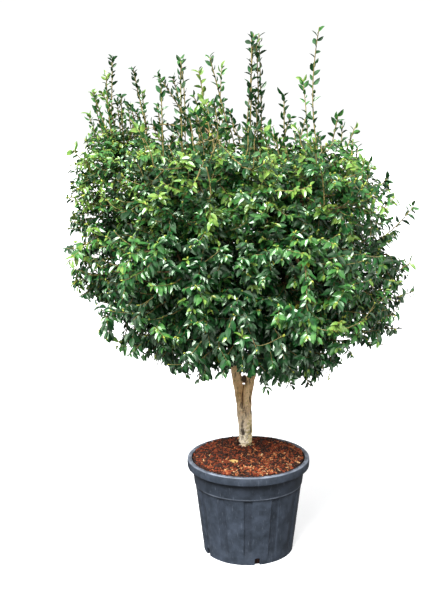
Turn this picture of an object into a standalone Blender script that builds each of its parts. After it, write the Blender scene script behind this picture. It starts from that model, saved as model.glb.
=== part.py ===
"""A potted sasanqua camellia, grown as a small tree with a clear trunk and a broad, shaggy crown.

Metres, +Z up. The origin is the centre of the pot's flat underside, -Y is the side that is
looked at, and +X is to its right. The pot, the soil, the trunk, its two stems, each bough and
each mass of foliage is one object. A mass keeps to its own space in the crown: flat walls part
it from its neighbours, and its twigs and leaves are grown inside them by a seeded rule.
"""

import math
import random
from types import SimpleNamespace

import bmesh
import bpy
from mathutils import Matrix, Vector
from mathutils.bvhtree import BVHTree

GAP = 0.0003            # clearance between two pieces that touch
SEED = 11
UP = Vector((0, 0, 1))
SHARP_ANGLE = math.radians(40)
MERGE = 0.0001          # corners closer than this are one

# Pot: a round moulded nursery container with a turned-over rim
POT_HEIGHT = 0.515
RIM_RADIUS = 0.330
RIM_DEPTH = 0.042       # height of the rim band
RIM_ROUND = 0.006
RIM_SOFT = 0.0024       # set-back of the point in the middle of a rounded edge
UNDER_ROUND = 0.003     # rounding of the rim's lower edge
LIP_DEPTH = 0.009       # the lip slopes in over this depth
MOUTH_RADIUS = 0.300
WALL_TOP_RADIUS = 0.3035
FOOT_RADIUS = 0.2475
WALL = 0.009
FLOOR = 0.006
BAND_FOOT = 0.370       # lower edge of the smooth band under the rim
BAND_STEP = 0.002       # the band stands this far out of the ribbed wall
FOOT_CHAMFER = 0.003
POT_STEPS = 36
GROOVES = 12
GROOVE_WIDTH = 0.050
GROOVE_DEPTH = 0.005
GROOVE_FOOT = 0.055
GROOVE_HEAD = 0.358
GROOVE_SLAB = 0.030     # thickness of the slab that cuts a groove
GROOVE_FRONT = math.radians(-90)
NOTCHES = 5
NOTCH_WIDTH = 0.028
NOTCH_HEIGHT = 0.040
NOTCH_FIRST = math.radians(-79)

# Soil: fills the pot and is heaped to a flat top, on which the trunk stands
SOIL_EDGE = 0.503
SOIL_TOP = 0.545
SOIL_FLAT_RADIUS = 0.150
SOIL_SHOULDER = (0.235, 0.526)
SOIL_FLARE = 0.004      # the soil's edge stands this far out of the wall, in its flared mouth

# Trunk and its two stems: (x, y, z, radius) from the foot up
TRUNK_SIDES = 4         # bevel resolution, from which a round limb gets its sides
STEM_SIDES = 3
BOUGH_SIDES = 1
TRUNK_Y = 0.084
TRUNK_LINE = (
    (-0.0150, TRUNK_Y, SOIL_TOP + GAP, 0.057),
    (-0.0150, TRUNK_Y, 0.556, 0.048),
    (-0.0155, TRUNK_Y, 0.580, 0.0415),
    (-0.0165, TRUNK_Y, 0.630, 0.0385),
    (-0.0185, TRUNK_Y, 0.690, 0.0385),
    (-0.0214, TRUNK_Y, 0.745, 0.0420),
    (-0.0214, TRUNK_Y, 0.770 - GAP, 0.0425),
)
STEM_LINES = {
    "stem_left": (
        (-0.0415, TRUNK_Y, 0.770, 0.0225),
        (-0.0415, TRUNK_Y, 0.785, 0.0230),
        (-0.0550, 0.083, 0.905, 0.0275),
        (-0.0680, 0.080, 0.974, 0.0250),
        (-0.0950, 0.070, 1.150, 0.0235),
        (-0.1250, 0.050, 1.350, 0.0215),
        (-0.1500, 0.035, 1.600, 0.0180),
        (-0.1800, 0.010, 1.850, 0.0135),
        (-0.2050, 0.000, 1.990, 0.0100),
    ),
    "stem_right": (
        (0.0025, TRUNK_Y, 0.770, 0.0185),
        (0.0025, TRUNK_Y, 0.785, 0.0188),
        (0.0065, 0.083, 0.905, 0.0205),
        (0.0195, 0.080, 0.974, 0.0220),
        (0.0230, 0.066, 1.150, 0.0210),
        (0.0280, 0.048, 1.350, 0.0195),
        (0.0600, 0.030, 1.600, 0.0165),
        (0.1100, 0.010, 1.850, 0.0125),
        (0.1450, 0.000, 1.990, 0.0095),
    ),
}

# Crown: rings of foliage masses about a leaning axis. A mass is an egg as wide as it is deep.
CROWN_FOOT = 1.300      # height at which the axis is at CROWN_X
CROWN_X = -0.015
CROWN_LEAN = -0.10      # shift of the axis with its height: the crown leans to its left
CROWN_RISE = -0.11      # the crown stands higher on its left: rise of a mass with its x
RINGS = (
    SimpleNamespace(name="lower", count=6, first=30, height=1.320, distance=0.440,
                    width=0.370, tall=0.300, root=(1.010, 0.065), bough=0.0135),
    SimpleNamespace(name="middle", count=6, first=0, height=1.590, distance=0.500,
                    width=0.405, tall=0.340, root=(1.210, 0.085), bough=0.0130),
    SimpleNamespace(name="upper", count=5, first=180, height=1.985, distance=0.460,
                    width=0.375, tall=0.320, root=(1.510, 0.090), bough=0.0110),
    SimpleNamespace(name="top", count=2, first=180, height=2.130, distance=0.170,
                    width=0.300, tall=0.240, root=None, bough=None),
)
SAME_HEIGHT = 0.20      # masses closer in height than this are parted by an upright wall
WALL_CLEAR = 0.002
LIMB_CLEAR = 0.004
BOUGH_POINTS = 4
BOUGH_SAG = 0.10        # how far a bough's bend hangs below the straight, as a share of it
BOUGH_STOUT = 0.72      # thickest root of a bough, as a share of its stem
BOUGH_TAPER = 0.62      # its tip, as a share of its root
BARE_RADIUS = 0.10      # round the crown's axis there are limbs but no leaves

# Long shoots that stand out of the crown: mass and the place of the tip
SHOOTS = (
    ("upper_1", -0.690, 0.000, 2.650),
    ("upper_1", -0.580, -0.040, 2.585),
    ("upper_1", -0.770, -0.080, 2.475),
    ("upper_1", -0.930, 0.020, 2.200),
    ("upper_2", -0.415, -0.330, 2.535),
    ("upper_2", -0.320, -0.330, 2.620),
    ("top_1", -0.245, -0.060, 2.580),
    ("top_1", -0.195, 0.060, 2.655),
    ("top_2", 0.028, -0.030, 2.765),
    ("top_2", 0.053, 0.040, 2.770),
    ("upper_3", 0.345, -0.220, 2.790),
    ("upper_3", 0.530, -0.260, 2.300),
    ("upper_4", 0.300, 0.460, 2.560),
    ("upper_5", -0.150, 0.500, 2.620),
    ("lower_2", -0.010, 0.870, 1.400),
    ("lower_5", -0.030, -0.870, 1.390),
    ("middle_1", 0.870, -0.060, 1.905),
    ("middle_1", 0.900, 0.040, 1.440),
    ("middle_4", -0.935, 0.050, 2.010),
    ("middle_4", -0.958, -0.080, 1.850),
    ("middle_4", -0.960, 0.060, 1.510),
)

# Growth: twigs and leaves of one mass
CORE_SHARE = 0.70       # of the mass's own size
CORE_SUBDIVISIONS = 2
CORE_LUMPS = 0.10       # how far its skin rises and falls, as a share
CORE_WAVES = (9, 7, 5)  # how often it does so along x, y and z
CORE_INSIDE = 0.88      # and never more than this share of the way to the mass's walls
CORE_CLEAR = 0.012      # from a limb's skin
TEST_STEP = 0.012       # between the points of a limb or twig that are tested
DRAW_SHARE = 0.93       # a core's corner near a limb is drawn in to this share of its reach
DRAW_ROUNDS = 20
GATE_SHARE = 0.80       # where a bough ends, as a share of its mass's own size
ENTRY_DROP = 0.15       # a bough comes in from a place on its stem this far below the centre
ENTRY_LENGTH = 0.05     # a mass's stem goes straight on for this long, or for a share of
ENTRY_SHARE = 0.3       # the way to its centre
STEM_LIFT = 0.5         # past the centre the stem turns up by this slope
STEM_BEYOND = 0.5       # and goes on for this share of the room there
STEM_MARGIN = 0.05      # no twig leaves the stem nearer to a joint than this share of a length
STEM_TAPER = 0.85       # of a mass's stem, from joint to joint
TWIGS = 5
TWIG_SIDES = 3
JOINT_SUNK = 0.0022     # a length of twig starts this far inside the one before
JOINT_SLIM = 0.93       # and this much slimmer
TWIG_RADIUS = 0.0055
TWIG_TIP_RADIUS = 0.0032
TWIG_BARE = 0.72        # leafless share of a twig, from its root
LEAVES_PER_TWIG = 2
SHOOT_BARE = 0.30
SHOOT_LEAN = 0.35       # its bend stands this share of the way back from under its tip
SHOOT_BEND = 0.35       # and this share of the height up
SHOOT_LEAVES = 2
CORE_LEAVES = 8
TRIES = 8               # ways tried for each twig or leaf that a mass is to have
CORE_LEAF_SUNK = 0.030  # root of a leaf on the core, in from the core's skin
CORE_LEAF_LEAN = 0.45   # how far such a leaf leans to any side
CORE_LEAF_LIFT = 0.15
EGG_SLACK = 1.10        # a leaf's tip may stand this far out of the egg
TIP_SUNK = 0.012        # how far a twig's last leaf is sunk on its tip
LEAF_LENGTH = 0.125
LEAF_WIDTH = 0.060
LEAF_APART = 0.055      # least distance between the middles of two leaves
LEAF_THICKNESS = 0.0046
LEAF_WIDEST = 0.38      # share of the length at which a leaf is widest
LEAF_MIDDLE = 0.60      # share of the length where its middle is taken to be
LEAF_TESTS = (0.2, 0.4, 0.6, 0.8)   # shares of the length at which the blade is tested
LEAF_DROOP = 0.25
LEAF_SPREAD = math.radians(52)
LEAF_TURN = math.radians(220)       # round the twig, from leaf to leaf
LEAF_ROLL = 1.3         # a blade is turned up to this far about its length
NEARLY_UPRIGHT = 0.05
SPREAD_UP = 0.7548776662     # the two steps of a sequence that fills a square evenly
SPREAD_ROUND = 0.5698402910


def to_linear(channel):
    return channel / 12.92 if channel <= 0.04045 else ((channel + 0.055) / 1.055) ** 2.4


def make_material(name, hex_colour, roughness):
    """A Principled surface of one sRGB colour."""
    material = bpy.data.materials.new(name)
    material.use_nodes = True
    shader = material.node_tree.nodes["Principled BSDF"]
    rgb = [to_linear(int(hex_colour[i:i + 2], 16) / 255) for i in (0, 2, 4)]
    shader.inputs["Base Color"].default_value = (*rgb, 1)
    shader.inputs["Roughness"].default_value = roughness
    shader.inputs["Metallic"].default_value = 0
    material.diffuse_color = (*rgb, 1)
    return material


def make_collection(name):
    group = bpy.data.collections.new(name)
    bpy.context.scene.collection.children.link(group)
    return group


def add_object(name, data, group, material=None):
    thing = bpy.data.objects.new(name, data)
    group.objects.link(thing)
    if material:
        data.materials.append(material)
    return thing


def as_cutter(thing):
    thing.hide_render = True
    thing.display_type = "WIRE"
    return thing


def apply_modifiers(thing):
    """Gives an object its evaluated mesh and drops its modifiers."""
    shaped = bpy.data.meshes.new_from_object(
        thing.evaluated_get(bpy.context.evaluated_depsgraph_get()))
    thing.modifiers.clear()
    for material in thing.data.materials:
        if material.name not in shaped.materials:
            shaped.materials.append(material)
    thing.data = shaped


def boolean(thing, operation, other, solver="EXACT"):
    """Adds a Boolean with an object or with a whole collection."""
    modifier = thing.modifiers.new(operation.lower(), "BOOLEAN")
    modifier.operation = operation
    modifier.solver = solver
    if isinstance(other, bpy.types.Collection):
        modifier.operand_type = "COLLECTION"
        modifier.collection = other
    else:
        modifier.object = other


def smooth(thing):
    thing.data.shade_smooth()
    thing.data.set_sharp_from_angle(angle=SHARP_ANGLE)


# Pot and soil

def turned(name, profile, group, material):
    """A solid of revolution: the profile runs from the axis, outwards and down, to the axis."""
    mesh = bpy.data.meshes.new(name)
    bm = bmesh.new()
    points = [bm.verts.new((radius, 0, height)) for radius, height in profile]
    for one, two in zip(points, points[1:]):
        bm.edges.new((one, two))
    bm.to_mesh(mesh)
    bm.free()
    thing = add_object(name, mesh, group, material)
    screw = thing.modifiers.new("turn", "SCREW")
    screw.steps = screw.render_steps = POT_STEPS
    screw.use_merge_vertices = True
    screw.merge_threshold = MERGE
    return thing


def wall_radius(height):
    """Outer radius of the pot's tapering wall at a height."""
    return FOOT_RADIUS + (WALL_TOP_RADIUS - FOOT_RADIUS) * height / (POT_HEIGHT - RIM_DEPTH)


def inner_radius(height):
    return wall_radius(height) - WALL - BAND_STEP


def pot_profile():
    under_rim = POT_HEIGHT - RIM_DEPTH
    return (
        (0, FLOOR),
        (inner_radius(FLOOR), FLOOR),
        (inner_radius(under_rim), under_rim),
        (MOUTH_RADIUS, POT_HEIGHT - LIP_DEPTH),
        (MOUTH_RADIUS + RIM_SOFT, POT_HEIGHT - RIM_SOFT),
        (MOUTH_RADIUS + RIM_ROUND, POT_HEIGHT),
        (RIM_RADIUS - RIM_ROUND, POT_HEIGHT),
        (RIM_RADIUS - RIM_SOFT, POT_HEIGHT - RIM_SOFT),
        (RIM_RADIUS, POT_HEIGHT - RIM_ROUND),
        (RIM_RADIUS, under_rim + UNDER_ROUND),
        (RIM_RADIUS - UNDER_ROUND, under_rim),
        (wall_radius(under_rim), under_rim),
        (wall_radius(BAND_FOOT), BAND_FOOT),
        (wall_radius(BAND_FOOT) - BAND_STEP, BAND_FOOT - BAND_STEP),
        (wall_radius(FOOT_CHAMFER) - BAND_STEP, FOOT_CHAMFER),
        (FOOT_RADIUS - FOOT_CHAMFER, 0),
        (0, 0),
    )


def box_cutter(name, size, place, group):
    mesh = bpy.data.meshes.new(name)
    bm = bmesh.new()
    bmesh.ops.create_cube(bm, size=1, matrix=place @ Matrix.Diagonal((*size, 1)))
    bm.to_mesh(mesh)
    bm.free()
    as_cutter(add_object(name, mesh, group))


def groove_cutters(group):
    """Twelve upright slabs that follow the wall's slope and cut its flutes."""
    length = GROOVE_HEAD - GROOVE_FOOT
    slope = math.atan2(wall_radius(GROOVE_HEAD) - wall_radius(GROOVE_FOOT), length)
    middle = (GROOVE_HEAD + GROOVE_FOOT) / 2
    out = wall_radius(middle) - BAND_STEP - GROOVE_DEPTH + GROOVE_SLAB / 2
    for k in range(GROOVES):
        turn = Matrix.Rotation(GROOVE_FRONT + k * math.tau / GROOVES, 4, "Z")
        place = turn @ Matrix.Translation((out, 0, middle)) @ Matrix.Rotation(slope, 4, "Y")
        box_cutter("groove_%d" % (k + 1), (GROOVE_SLAB, GROOVE_WIDTH, length), place, group)


def notch_cutters(group):
    """Five drain notches through the foot of the wall: half of each box is below the pot."""
    for k in range(NOTCHES):
        turn = Matrix.Rotation(NOTCH_FIRST + k * math.tau / NOTCHES, 4, "Z")
        place = turn @ Matrix.Translation((FOOT_RADIUS, 0, 0))
        size = (4 * WALL, NOTCH_WIDTH, 2 * NOTCH_HEIGHT)
        box_cutter("notch_%d" % (k + 1), size, place, group)


def make_pot(parts):
    cutters = make_collection("pot_cutters")
    groove_cutters(cutters)
    notch_cutters(cutters)
    pot = turned("pot", pot_profile(), parts, make_material("moulded_plastic", "3b4148", 0.55))
    boolean(pot, "DIFFERENCE", cutters, "MANIFOLD")


def make_soil(parts):
    """The root ball's soil, clear of the pot by the gap all round."""
    under_rim = POT_HEIGHT - RIM_DEPTH
    profile = (
        (0, SOIL_TOP),
        (SOIL_FLAT_RADIUS, SOIL_TOP),
        SOIL_SHOULDER,
        (inner_radius(under_rim) + SOIL_FLARE, SOIL_EDGE),
        (inner_radius(under_rim) - 2 * GAP, under_rim),
        (inner_radius(FLOOR) - 2 * GAP, FLOOR + GAP),
        (0, FLOOR + GAP),
    )
    turned("soil", profile, parts, make_material("bark_mulch", "6a3d27", 0.9))


# Trunk, stems and boughs

def limb_curve(name, line, group, sides_level, grow=0.0):
    """A tapering round limb along a line of (x, y, z, radius)."""
    curve = bpy.data.curves.new(name, "CURVE")
    curve.dimensions = "3D"
    curve.bevel_depth = 1
    curve.bevel_resolution = sides_level
    curve.use_fill_caps = True
    spline = curve.splines.new("POLY")
    spline.points.add(len(line) - 1)
    for point, (x, y, z, radius) in zip(spline.points, line):
        point.co = (x, y, z, 1)
        point.radius = radius + grow
    return add_object(name, curve, group)


def limb_mesh(name, line, group, sides_level, material=None, grow=0.0):
    """The same limb as a closed mesh, which can be cut and can cut."""
    guide = limb_curve(name + "_line", line, group, sides_level, grow)
    mesh = bpy.data.meshes.new_from_object(
        guide.evaluated_get(bpy.context.evaluated_depsgraph_get()))
    mesh.name = name
    bm = bmesh.new()
    bm.from_mesh(mesh)
    bmesh.ops.remove_doubles(bm, verts=bm.verts, dist=MERGE / 10)
    bm.to_mesh(mesh)
    bm.free()
    limb = add_object(name, mesh, group, material)
    limb.matrix_world = guide.matrix_world
    bpy.data.objects.remove(guide)
    return limb


def make_trunk(parts, bark):
    smooth(limb_mesh("trunk", TRUNK_LINE, parts, TRUNK_SIDES, bark))


def at_height(line, height):
    """Point and radius of a stem at a height."""
    for low, high in zip(line, line[1:]):
        if low[2] <= height <= high[2]:
            share = (height - low[2]) / (high[2] - low[2])
            mixed = [a + (b - a) * share for a, b in zip(low, high)]
            return Vector(mixed[:3]), mixed[3]
    return Vector(line[-1][:3]), line[-1][3]


def axis_x(height):
    """Where the crown's leaning axis is at a height."""
    return CROWN_X + CROWN_LEAN * (height - CROWN_FOOT)


def ring_masses():
    """Every mass of foliage with its centre and half sizes, ring by ring."""
    masses = []
    for ring in RINGS:
        for k in range(ring.count):
            angle = math.radians(ring.first) + k * math.tau / ring.count
            x = ring.distance * math.cos(angle)
            centre = Vector((axis_x(ring.height) + x, ring.distance * math.sin(angle),
                             ring.height + CROWN_RISE * x))
            masses.append(SimpleNamespace(
                name="%s_%d" % (ring.name, k + 1), ring=ring, order=k,
                centre=centre, half=Vector((ring.width, ring.width, ring.tall))))
    return masses


def half_reach(mass, way):
    """How far the mass's egg reaches from its centre towards a flat wall that faces this way."""
    return math.sqrt(sum((h * w) ** 2 for h, w in zip(mass.half, way)))


def egg_reach(mass, way):
    """Length from the centre to the egg's skin along this way."""
    return 1 / math.sqrt(sum((w / h) ** 2 for h, w in zip(mass.half, way)))


def part_spaces(masses):
    """Sets flat walls between each two masses, in proportion to their sizes."""
    for mass in masses:
        mass.walls = []
        for other in masses:
            if other is mass:
                continue
            between = other.centre - mass.centre
            way = between.copy()
            if abs(way.z) < SAME_HEIGHT:
                way.z = 0
            way.normalize()
            share = half_reach(mass, way) / (half_reach(mass, way) + half_reach(other, way))
            limit = mass.centre.dot(way) + between.dot(way) * share - WALL_CLEAR
            mass.walls.append((way, limit))


def in_walls(mass, point):
    return all(point.dot(way) < limit for way, limit in mass.walls)


def in_egg(mass, point):
    offset = point - mass.centre
    return sum((o / h) ** 2 for o, h in zip(offset, mass.half)) <= EGG_SLACK ** 2


def space_reach(mass, way):
    """Length from the centre to the edge of the mass's own space along this way."""
    reach = egg_reach(mass, way)
    for wall, limit in mass.walls:
        towards = way.dot(wall)
        if towards > 0:
            reach = min(reach, (limit - mass.centre.dot(wall)) / towards)
    return reach


def bough_stem(mass):
    """The stem that carries a mass: each has the masses on its own side."""
    angle = (mass.ring.first + 360 * mass.order / mass.ring.count) % 360
    return "stem_left" if 89 < angle < 269 else "stem_right"


def bough_line(mass, root_height):
    """A bough from the middle of its stem to where it enters its mass."""
    stem = STEM_LINES[bough_stem(mass)]
    root, stem_radius = at_height(stem, root_height)
    facing, _ = at_height(stem, mass.centre.z - ENTRY_DROP)
    inward = (facing - mass.centre).normalized()
    reach = min(egg_reach(mass, inward) * GATE_SHARE, space_reach(mass, inward) - WALL_CLEAR)
    tip = mass.centre + inward * reach
    bend = root.lerp(tip, 0.5) - UP * BOUGH_SAG * (tip - root).length
    first = min(mass.ring.bough, BOUGH_STOUT * stem_radius)
    last = BOUGH_TAPER * first
    line = []
    for k in range(BOUGH_POINTS):
        t = k / (BOUGH_POINTS - 1)
        point = root * (1 - t) ** 2 + bend * 2 * t * (1 - t) + tip * t * t
        line.append((*point, first + (last - first) * t))
    return line


def plan_boughs(masses):
    """Sets each mass's bough, or the stem tip that carries a top mass."""
    taken = {}
    for mass in masses:
        stem = "stem_left" if mass.name == "top_1" else "stem_right"
        if mass.ring.root is None:
            mass.bough = None
            line = STEM_LINES[stem]
        else:
            stem = bough_stem(mass)
            lowest, step = mass.ring.root
            count = taken.get((stem, mass.ring.name), 0)
            taken[(stem, mass.ring.name)] = count + 1
            line = mass.bough = bough_line(mass, lowest + step * count)
        before, tip = Vector(line[-2][:3]), Vector(line[-1][:3])
        mass.gate_way = (tip - before).normalized()
        mass.gate = tip + mass.gate_way * GAP
        mass.gate_radius = line[-1][3]


def make_stems(parts, bark):
    for name, line in STEM_LINES.items():
        smooth(limb_mesh(name, line, parts, STEM_SIDES, bark))


def make_boughs(masses, parts, bark):
    """Each bough starts in the middle of its stem and is cut back to clear the stem's skin."""
    cutters = make_collection("stem_cutters")
    swollen = {name: as_cutter(limb_mesh(name + "_cutter", line, cutters, STEM_SIDES, None, GAP))
               for name, line in STEM_LINES.items()}
    for mass in masses:
        if mass.bough is None:
            continue
        bough = limb_mesh("bough_" + mass.name, mass.bough, parts, BOUGH_SIDES, bark)
        boolean(bough, "DIFFERENCE", swollen[bough_stem(mass)], "MANIFOLD")
        apply_modifiers(bough)
        smooth(bough)


def all_limbs(masses):
    """Straight lengths of every limb, as start, end and the greater radius."""
    lines = [TRUNK_LINE, *STEM_LINES.values()]
    lines += [mass.bough for mass in masses if mass.bough]
    return [(Vector(one[:3]), Vector(two[:3]), max(one[3], two[3]))
            for line in lines for one, two in zip(line, line[1:])]


def skin_distance(point, start, end, radius):
    """Distance from a point to the skin of one straight length of a limb."""
    along = end - start
    share = max(0, min(1, (point - start).dot(along) / along.length_squared))
    return (point - start - along * share).length - radius


def limb_distance(limbs, point):
    return min(skin_distance(point, *limb) for limb in limbs)


def even_points(start, end):
    """Points from start to end, close enough together for a test."""
    count = math.ceil((end - start).length / TEST_STEP)
    return [start.lerp(end, k / count) for k in range(count + 1)]


# Foliage

def straight_piece(name, start, end, radius, end_radius, group):
    """One straight, three-sided, tapering length of twig."""
    way = end - start
    turn = way.to_track_quat("Z", "Y").to_matrix().to_4x4()
    place = Matrix.Translation((start + end) / 2) @ turn
    mesh = bpy.data.meshes.new(name)
    bm = bmesh.new()
    bmesh.ops.create_cone(bm, cap_ends=True, segments=TWIG_SIDES, radius1=radius,
                          radius2=end_radius, depth=way.length, matrix=place)
    bm.to_mesh(mesh)
    bm.free()
    return add_object(name, mesh, group)


def jointed_pieces(name, path, radii, group):
    """Straight lengths along a path, each sunk a little into the one before."""
    for k, (start, end) in enumerate(zip(path, path[1:])):
        sunk = (end - start).normalized() * (JOINT_SUNK if k else 0)
        slim = JOINT_SLIM if k else 1
        straight_piece(name, start - sunk, end, radii[k] * slim, radii[k + 1], group)


def level_side(way):
    """A level direction across a way, also where the way is upright."""
    side = way.cross(UP)
    return side.normalized() if side.length > NEARLY_UPRIGHT else Vector((1, 0, 0))


def leaf_frame(root, along, turn):
    """Place of a leaf: X from root to tip, Y across the blade."""
    across = Matrix.Rotation(turn, 3, along) @ level_side(along)
    face = along.cross(across).normalized()
    return Matrix.Translation(root) @ Matrix((along, across, face)).transposed().to_4x4()


def leaf_corners(frame):
    """The six corners of a leaf: tip, root, two sides and two faces."""
    wide = LEAF_LENGTH * LEAF_WIDEST
    corners = [(LEAF_LENGTH, 0, 0), (0, 0, 0)]
    corners += [(wide, side * LEAF_WIDTH / 2, 0) for side in (1, -1)]
    corners += [(wide, 0, side * LEAF_THICKNESS / 2) for side in (1, -1)]
    return [frame @ Vector(corner) for corner in corners]


def leaf_piece(name, frame, group):
    """A squashed octahedron of eight faces, widest below its middle."""
    mesh = bpy.data.meshes.new(name)
    bm = bmesh.new()
    bmesh.ops.create_uvsphere(bm, u_segments=4, v_segments=2, radius=1)
    for corner in bm.verts:
        x, y, z = corner.co
        if abs(x) > 0.5:
            along = LEAF_LENGTH if x > 0 else 0
        else:
            along = LEAF_LENGTH * LEAF_WIDEST
        corner.co = (along, y * LEAF_WIDTH / 2, z * LEAF_THICKNESS / 2)
    bm.transform(frame)
    bm.to_mesh(mesh)
    bm.free()
    return add_object(name, mesh, group)


def leaf_roots(path, bare, count):
    """Even places on the outer share of a twig, with the twig's direction there."""
    lengths = [(b - a).length for a, b in zip(path, path[1:])]
    total = sum(lengths)
    for k in range(count):
        left = total * (bare + (1 - bare) * k / count)
        for a, b, length in zip(path, path[1:], lengths):
            if left <= length:
                yield a.lerp(b, left / length), (b - a).normalized()
                break
            left -= length


def twig_leaves(path, bare, count, start_turn, chance):
    """Leaf frames along a twig, each turned on from the one before, and one at its tip."""
    frames = []
    for k, (root, way) in enumerate(leaf_roots(path, bare, count)):
        side = Matrix.Rotation(start_turn + k * LEAF_TURN, 3, way) @ level_side(way)
        along = way * math.cos(LEAF_SPREAD) + side * math.sin(LEAF_SPREAD)
        along = (along - UP * chance.uniform(0.0, LEAF_DROOP)).normalized()
        frames.append(leaf_frame(root, along, chance.uniform(-LEAF_ROLL, LEAF_ROLL)))
    way = (path[-1] - path[-2]).normalized()
    frames.append(leaf_frame(path[-1] - way * TIP_SUNK, way, chance.uniform(-LEAF_ROLL, LEAF_ROLL)))
    return frames


def mass_stem(mass):
    """The line of a mass's own stem: in at its gate, through its centre and on."""
    through = mass.centre - mass.gate
    first = mass.gate + mass.gate_way * min(ENTRY_LENGTH, through.length * ENTRY_SHARE)
    beyond = (through.normalized() + UP * STEM_LIFT).normalized()
    last = mass.centre + beyond * space_reach(mass, beyond) * STEM_BEYOND
    return [mass.gate, first, mass.centre.copy(), last]


def even_way(k):
    """The k-th of a row of ways that spread evenly on all sides."""
    height = 1 - 2 * ((0.5 + SPREAD_UP * k) % 1)
    turn = math.tau * ((0.5 + SPREAD_ROUND * k) % 1)
    flat = math.sqrt(1 - height * height)
    return Vector((flat * math.cos(turn), flat * math.sin(turn), height))


def outward(mass):
    """The level way from the crown's axis through the mass."""
    return Vector((mass.centre.x - axis_x(mass.ring.height), mass.centre.y, 0)).normalized()


def tip_target(mass, core, k):
    """Where the k-th twig ends, a leaf's length inside the mass's edge, if clear of the core."""
    way = even_way(k) if k else outward(mass)
    reach = space_reach(mass, way) - LEAF_LENGTH + TIP_SUNK
    return mass.centre + way * reach if reach > core_reach(mass, core, way) else None


def nearest_on(stem, point):
    """The place on the stem's outer lengths that is nearest to a point."""
    best = None
    for start, end in zip(stem[1:], stem[2:]):
        along = end - start
        share = (point - start).dot(along) / along.length_squared
        place = start + along * max(STEM_MARGIN, min(1 - STEM_MARGIN, share))
        if best is None or (point - place).length < (point - best).length:
            best = place
    return best


def shoot_path(stem, reach):
    """A tall shoot: out from the stem, then nearly straight up, its last leaf ending at reach."""
    root = nearest_on(stem, reach)
    bend = Vector((reach.x, reach.y, root.z)).lerp(root, SHOOT_LEAN)
    bend.z += SHOOT_BEND * (reach.z - root.z)
    way = (reach - bend).normalized()
    return [root, bend, reach - way * (LEAF_LENGTH - TIP_SUNK)]


def path_clear(mass, limbs, path, radius):
    """True where a twig keeps to its mass's walls and clear of every limb."""
    for a, b in zip(path, path[1:]):
        for point in even_points(a, b):
            if not in_walls(mass, point) or limb_distance(limbs, point) < radius + LIMB_CLEAR:
                return False
    return True


def off_axis(point):
    return math.hypot(point.x - axis_x(point.z), point.y) > BARE_RADIUS


def leaf_middle(frame):
    return frame @ Vector((LEAF_LENGTH * LEAF_MIDDLE, 0, 0))


def blade_points(frame):
    """Places on the blade of a leaf: its midrib, and halfway out to its edges."""
    for along in LEAF_TESTS:
        tapered = min(along / LEAF_WIDEST, (1 - along) / (1 - LEAF_WIDEST))
        for side in (-1, 0, 1):
            yield frame @ Vector((LEAF_LENGTH * along, side * tapered * LEAF_WIDTH / 4, 0))


def leaf_clear(mass, limbs, frame, others, loose):
    """True where a whole leaf is in its mass's space, touches no limb and crowds no leaf."""
    corners = leaf_corners(frame)
    middle = leaf_middle(frame)
    tested = (*corners, *blade_points(frame))
    return (all(in_walls(mass, corner) and (loose or in_egg(mass, corner)) for corner in corners)
            and all(limb_distance(limbs, point) > LIMB_CLEAR for point in tested)
            and all((leaf_middle(other) - middle).length > LEAF_APART for other in others))


def core_size(mass, way):
    """Length from the centre to the core's skin before it is drawn clear of the limbs."""
    wave_x, wave_y, wave_z = (times * along for times, along in zip(CORE_WAVES, way))
    lump = 1 + CORE_LUMPS * math.sin(wave_x + mass.order) * math.sin(wave_y + wave_z)
    return min(egg_reach(mass, way) * CORE_SHARE * lump, space_reach(mass, way) * CORE_INSIDE)


def core_reach(mass, core, way):
    """Length from the centre to the core's skin: core is a search tree of its facets."""
    return core.ray_cast(mass.centre, way)[3]


def limb_points(limbs):
    """Points along every limb's middle, with the limb's radius."""
    for start, end, radius in limbs:
        for point in even_points(start, end):
            yield point, radius


def draw_clear(bm, mass, limbs):
    """Draws the core's corners in until every limb passes outside its facets."""
    points = list(limb_points(limbs))
    for _ in range(DRAW_ROUNDS):
        core = BVHTree.FromBMesh(bm)
        bm.faces.ensure_lookup_table()
        near = set()
        for point, radius in points:
            offset = point - mass.centre
            _, _, face, reach = core.ray_cast(mass.centre, offset.normalized())
            if offset.length < reach + radius + CORE_CLEAR:
                near.update(bm.faces[face].verts)
        if not near:
            break
        for corner in near:
            corner.co = mass.centre.lerp(corner.co, DRAW_SHARE)


def core_piece(mass, limbs, group):
    """The dense inside of a mass, as a faceted ball of its own shape, and its search tree."""
    mesh = bpy.data.meshes.new("core")
    bm = bmesh.new()
    bmesh.ops.create_icosphere(bm, subdivisions=CORE_SUBDIVISIONS, radius=1)
    for corner in bm.verts:
        way = corner.co.normalized()
        corner.co = mass.centre + way * core_size(mass, way)
    draw_clear(bm, mass, limbs)
    bm.to_mesh(mesh)
    core = BVHTree.FromBMesh(bm)
    bm.free()
    return add_object("foliage_" + mass.name, mesh, group), core


def core_leaves(mass, limbs, core, others, chance):
    """Leaves that stand out of the core where the mass has room, each leaning its own way."""
    frames = list(others)
    for k in range(TRIES * CORE_LEAVES):
        way = even_way(k)
        root = mass.centre + way * (core_reach(mass, core, way) - CORE_LEAF_SUNK)
        lean = Vector([chance.uniform(-1, 1) for _ in range(3)])
        along = (way + lean * CORE_LEAF_LEAN + UP * CORE_LEAF_LIFT).normalized()
        frame = leaf_frame(root, along, chance.uniform(-LEAF_ROLL, LEAF_ROLL))
        if (len(frames) - len(others) < CORE_LEAVES
                and leaf_clear(mass, limbs, frame, frames, False)):
            frames.append(frame)
    return frames


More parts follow.
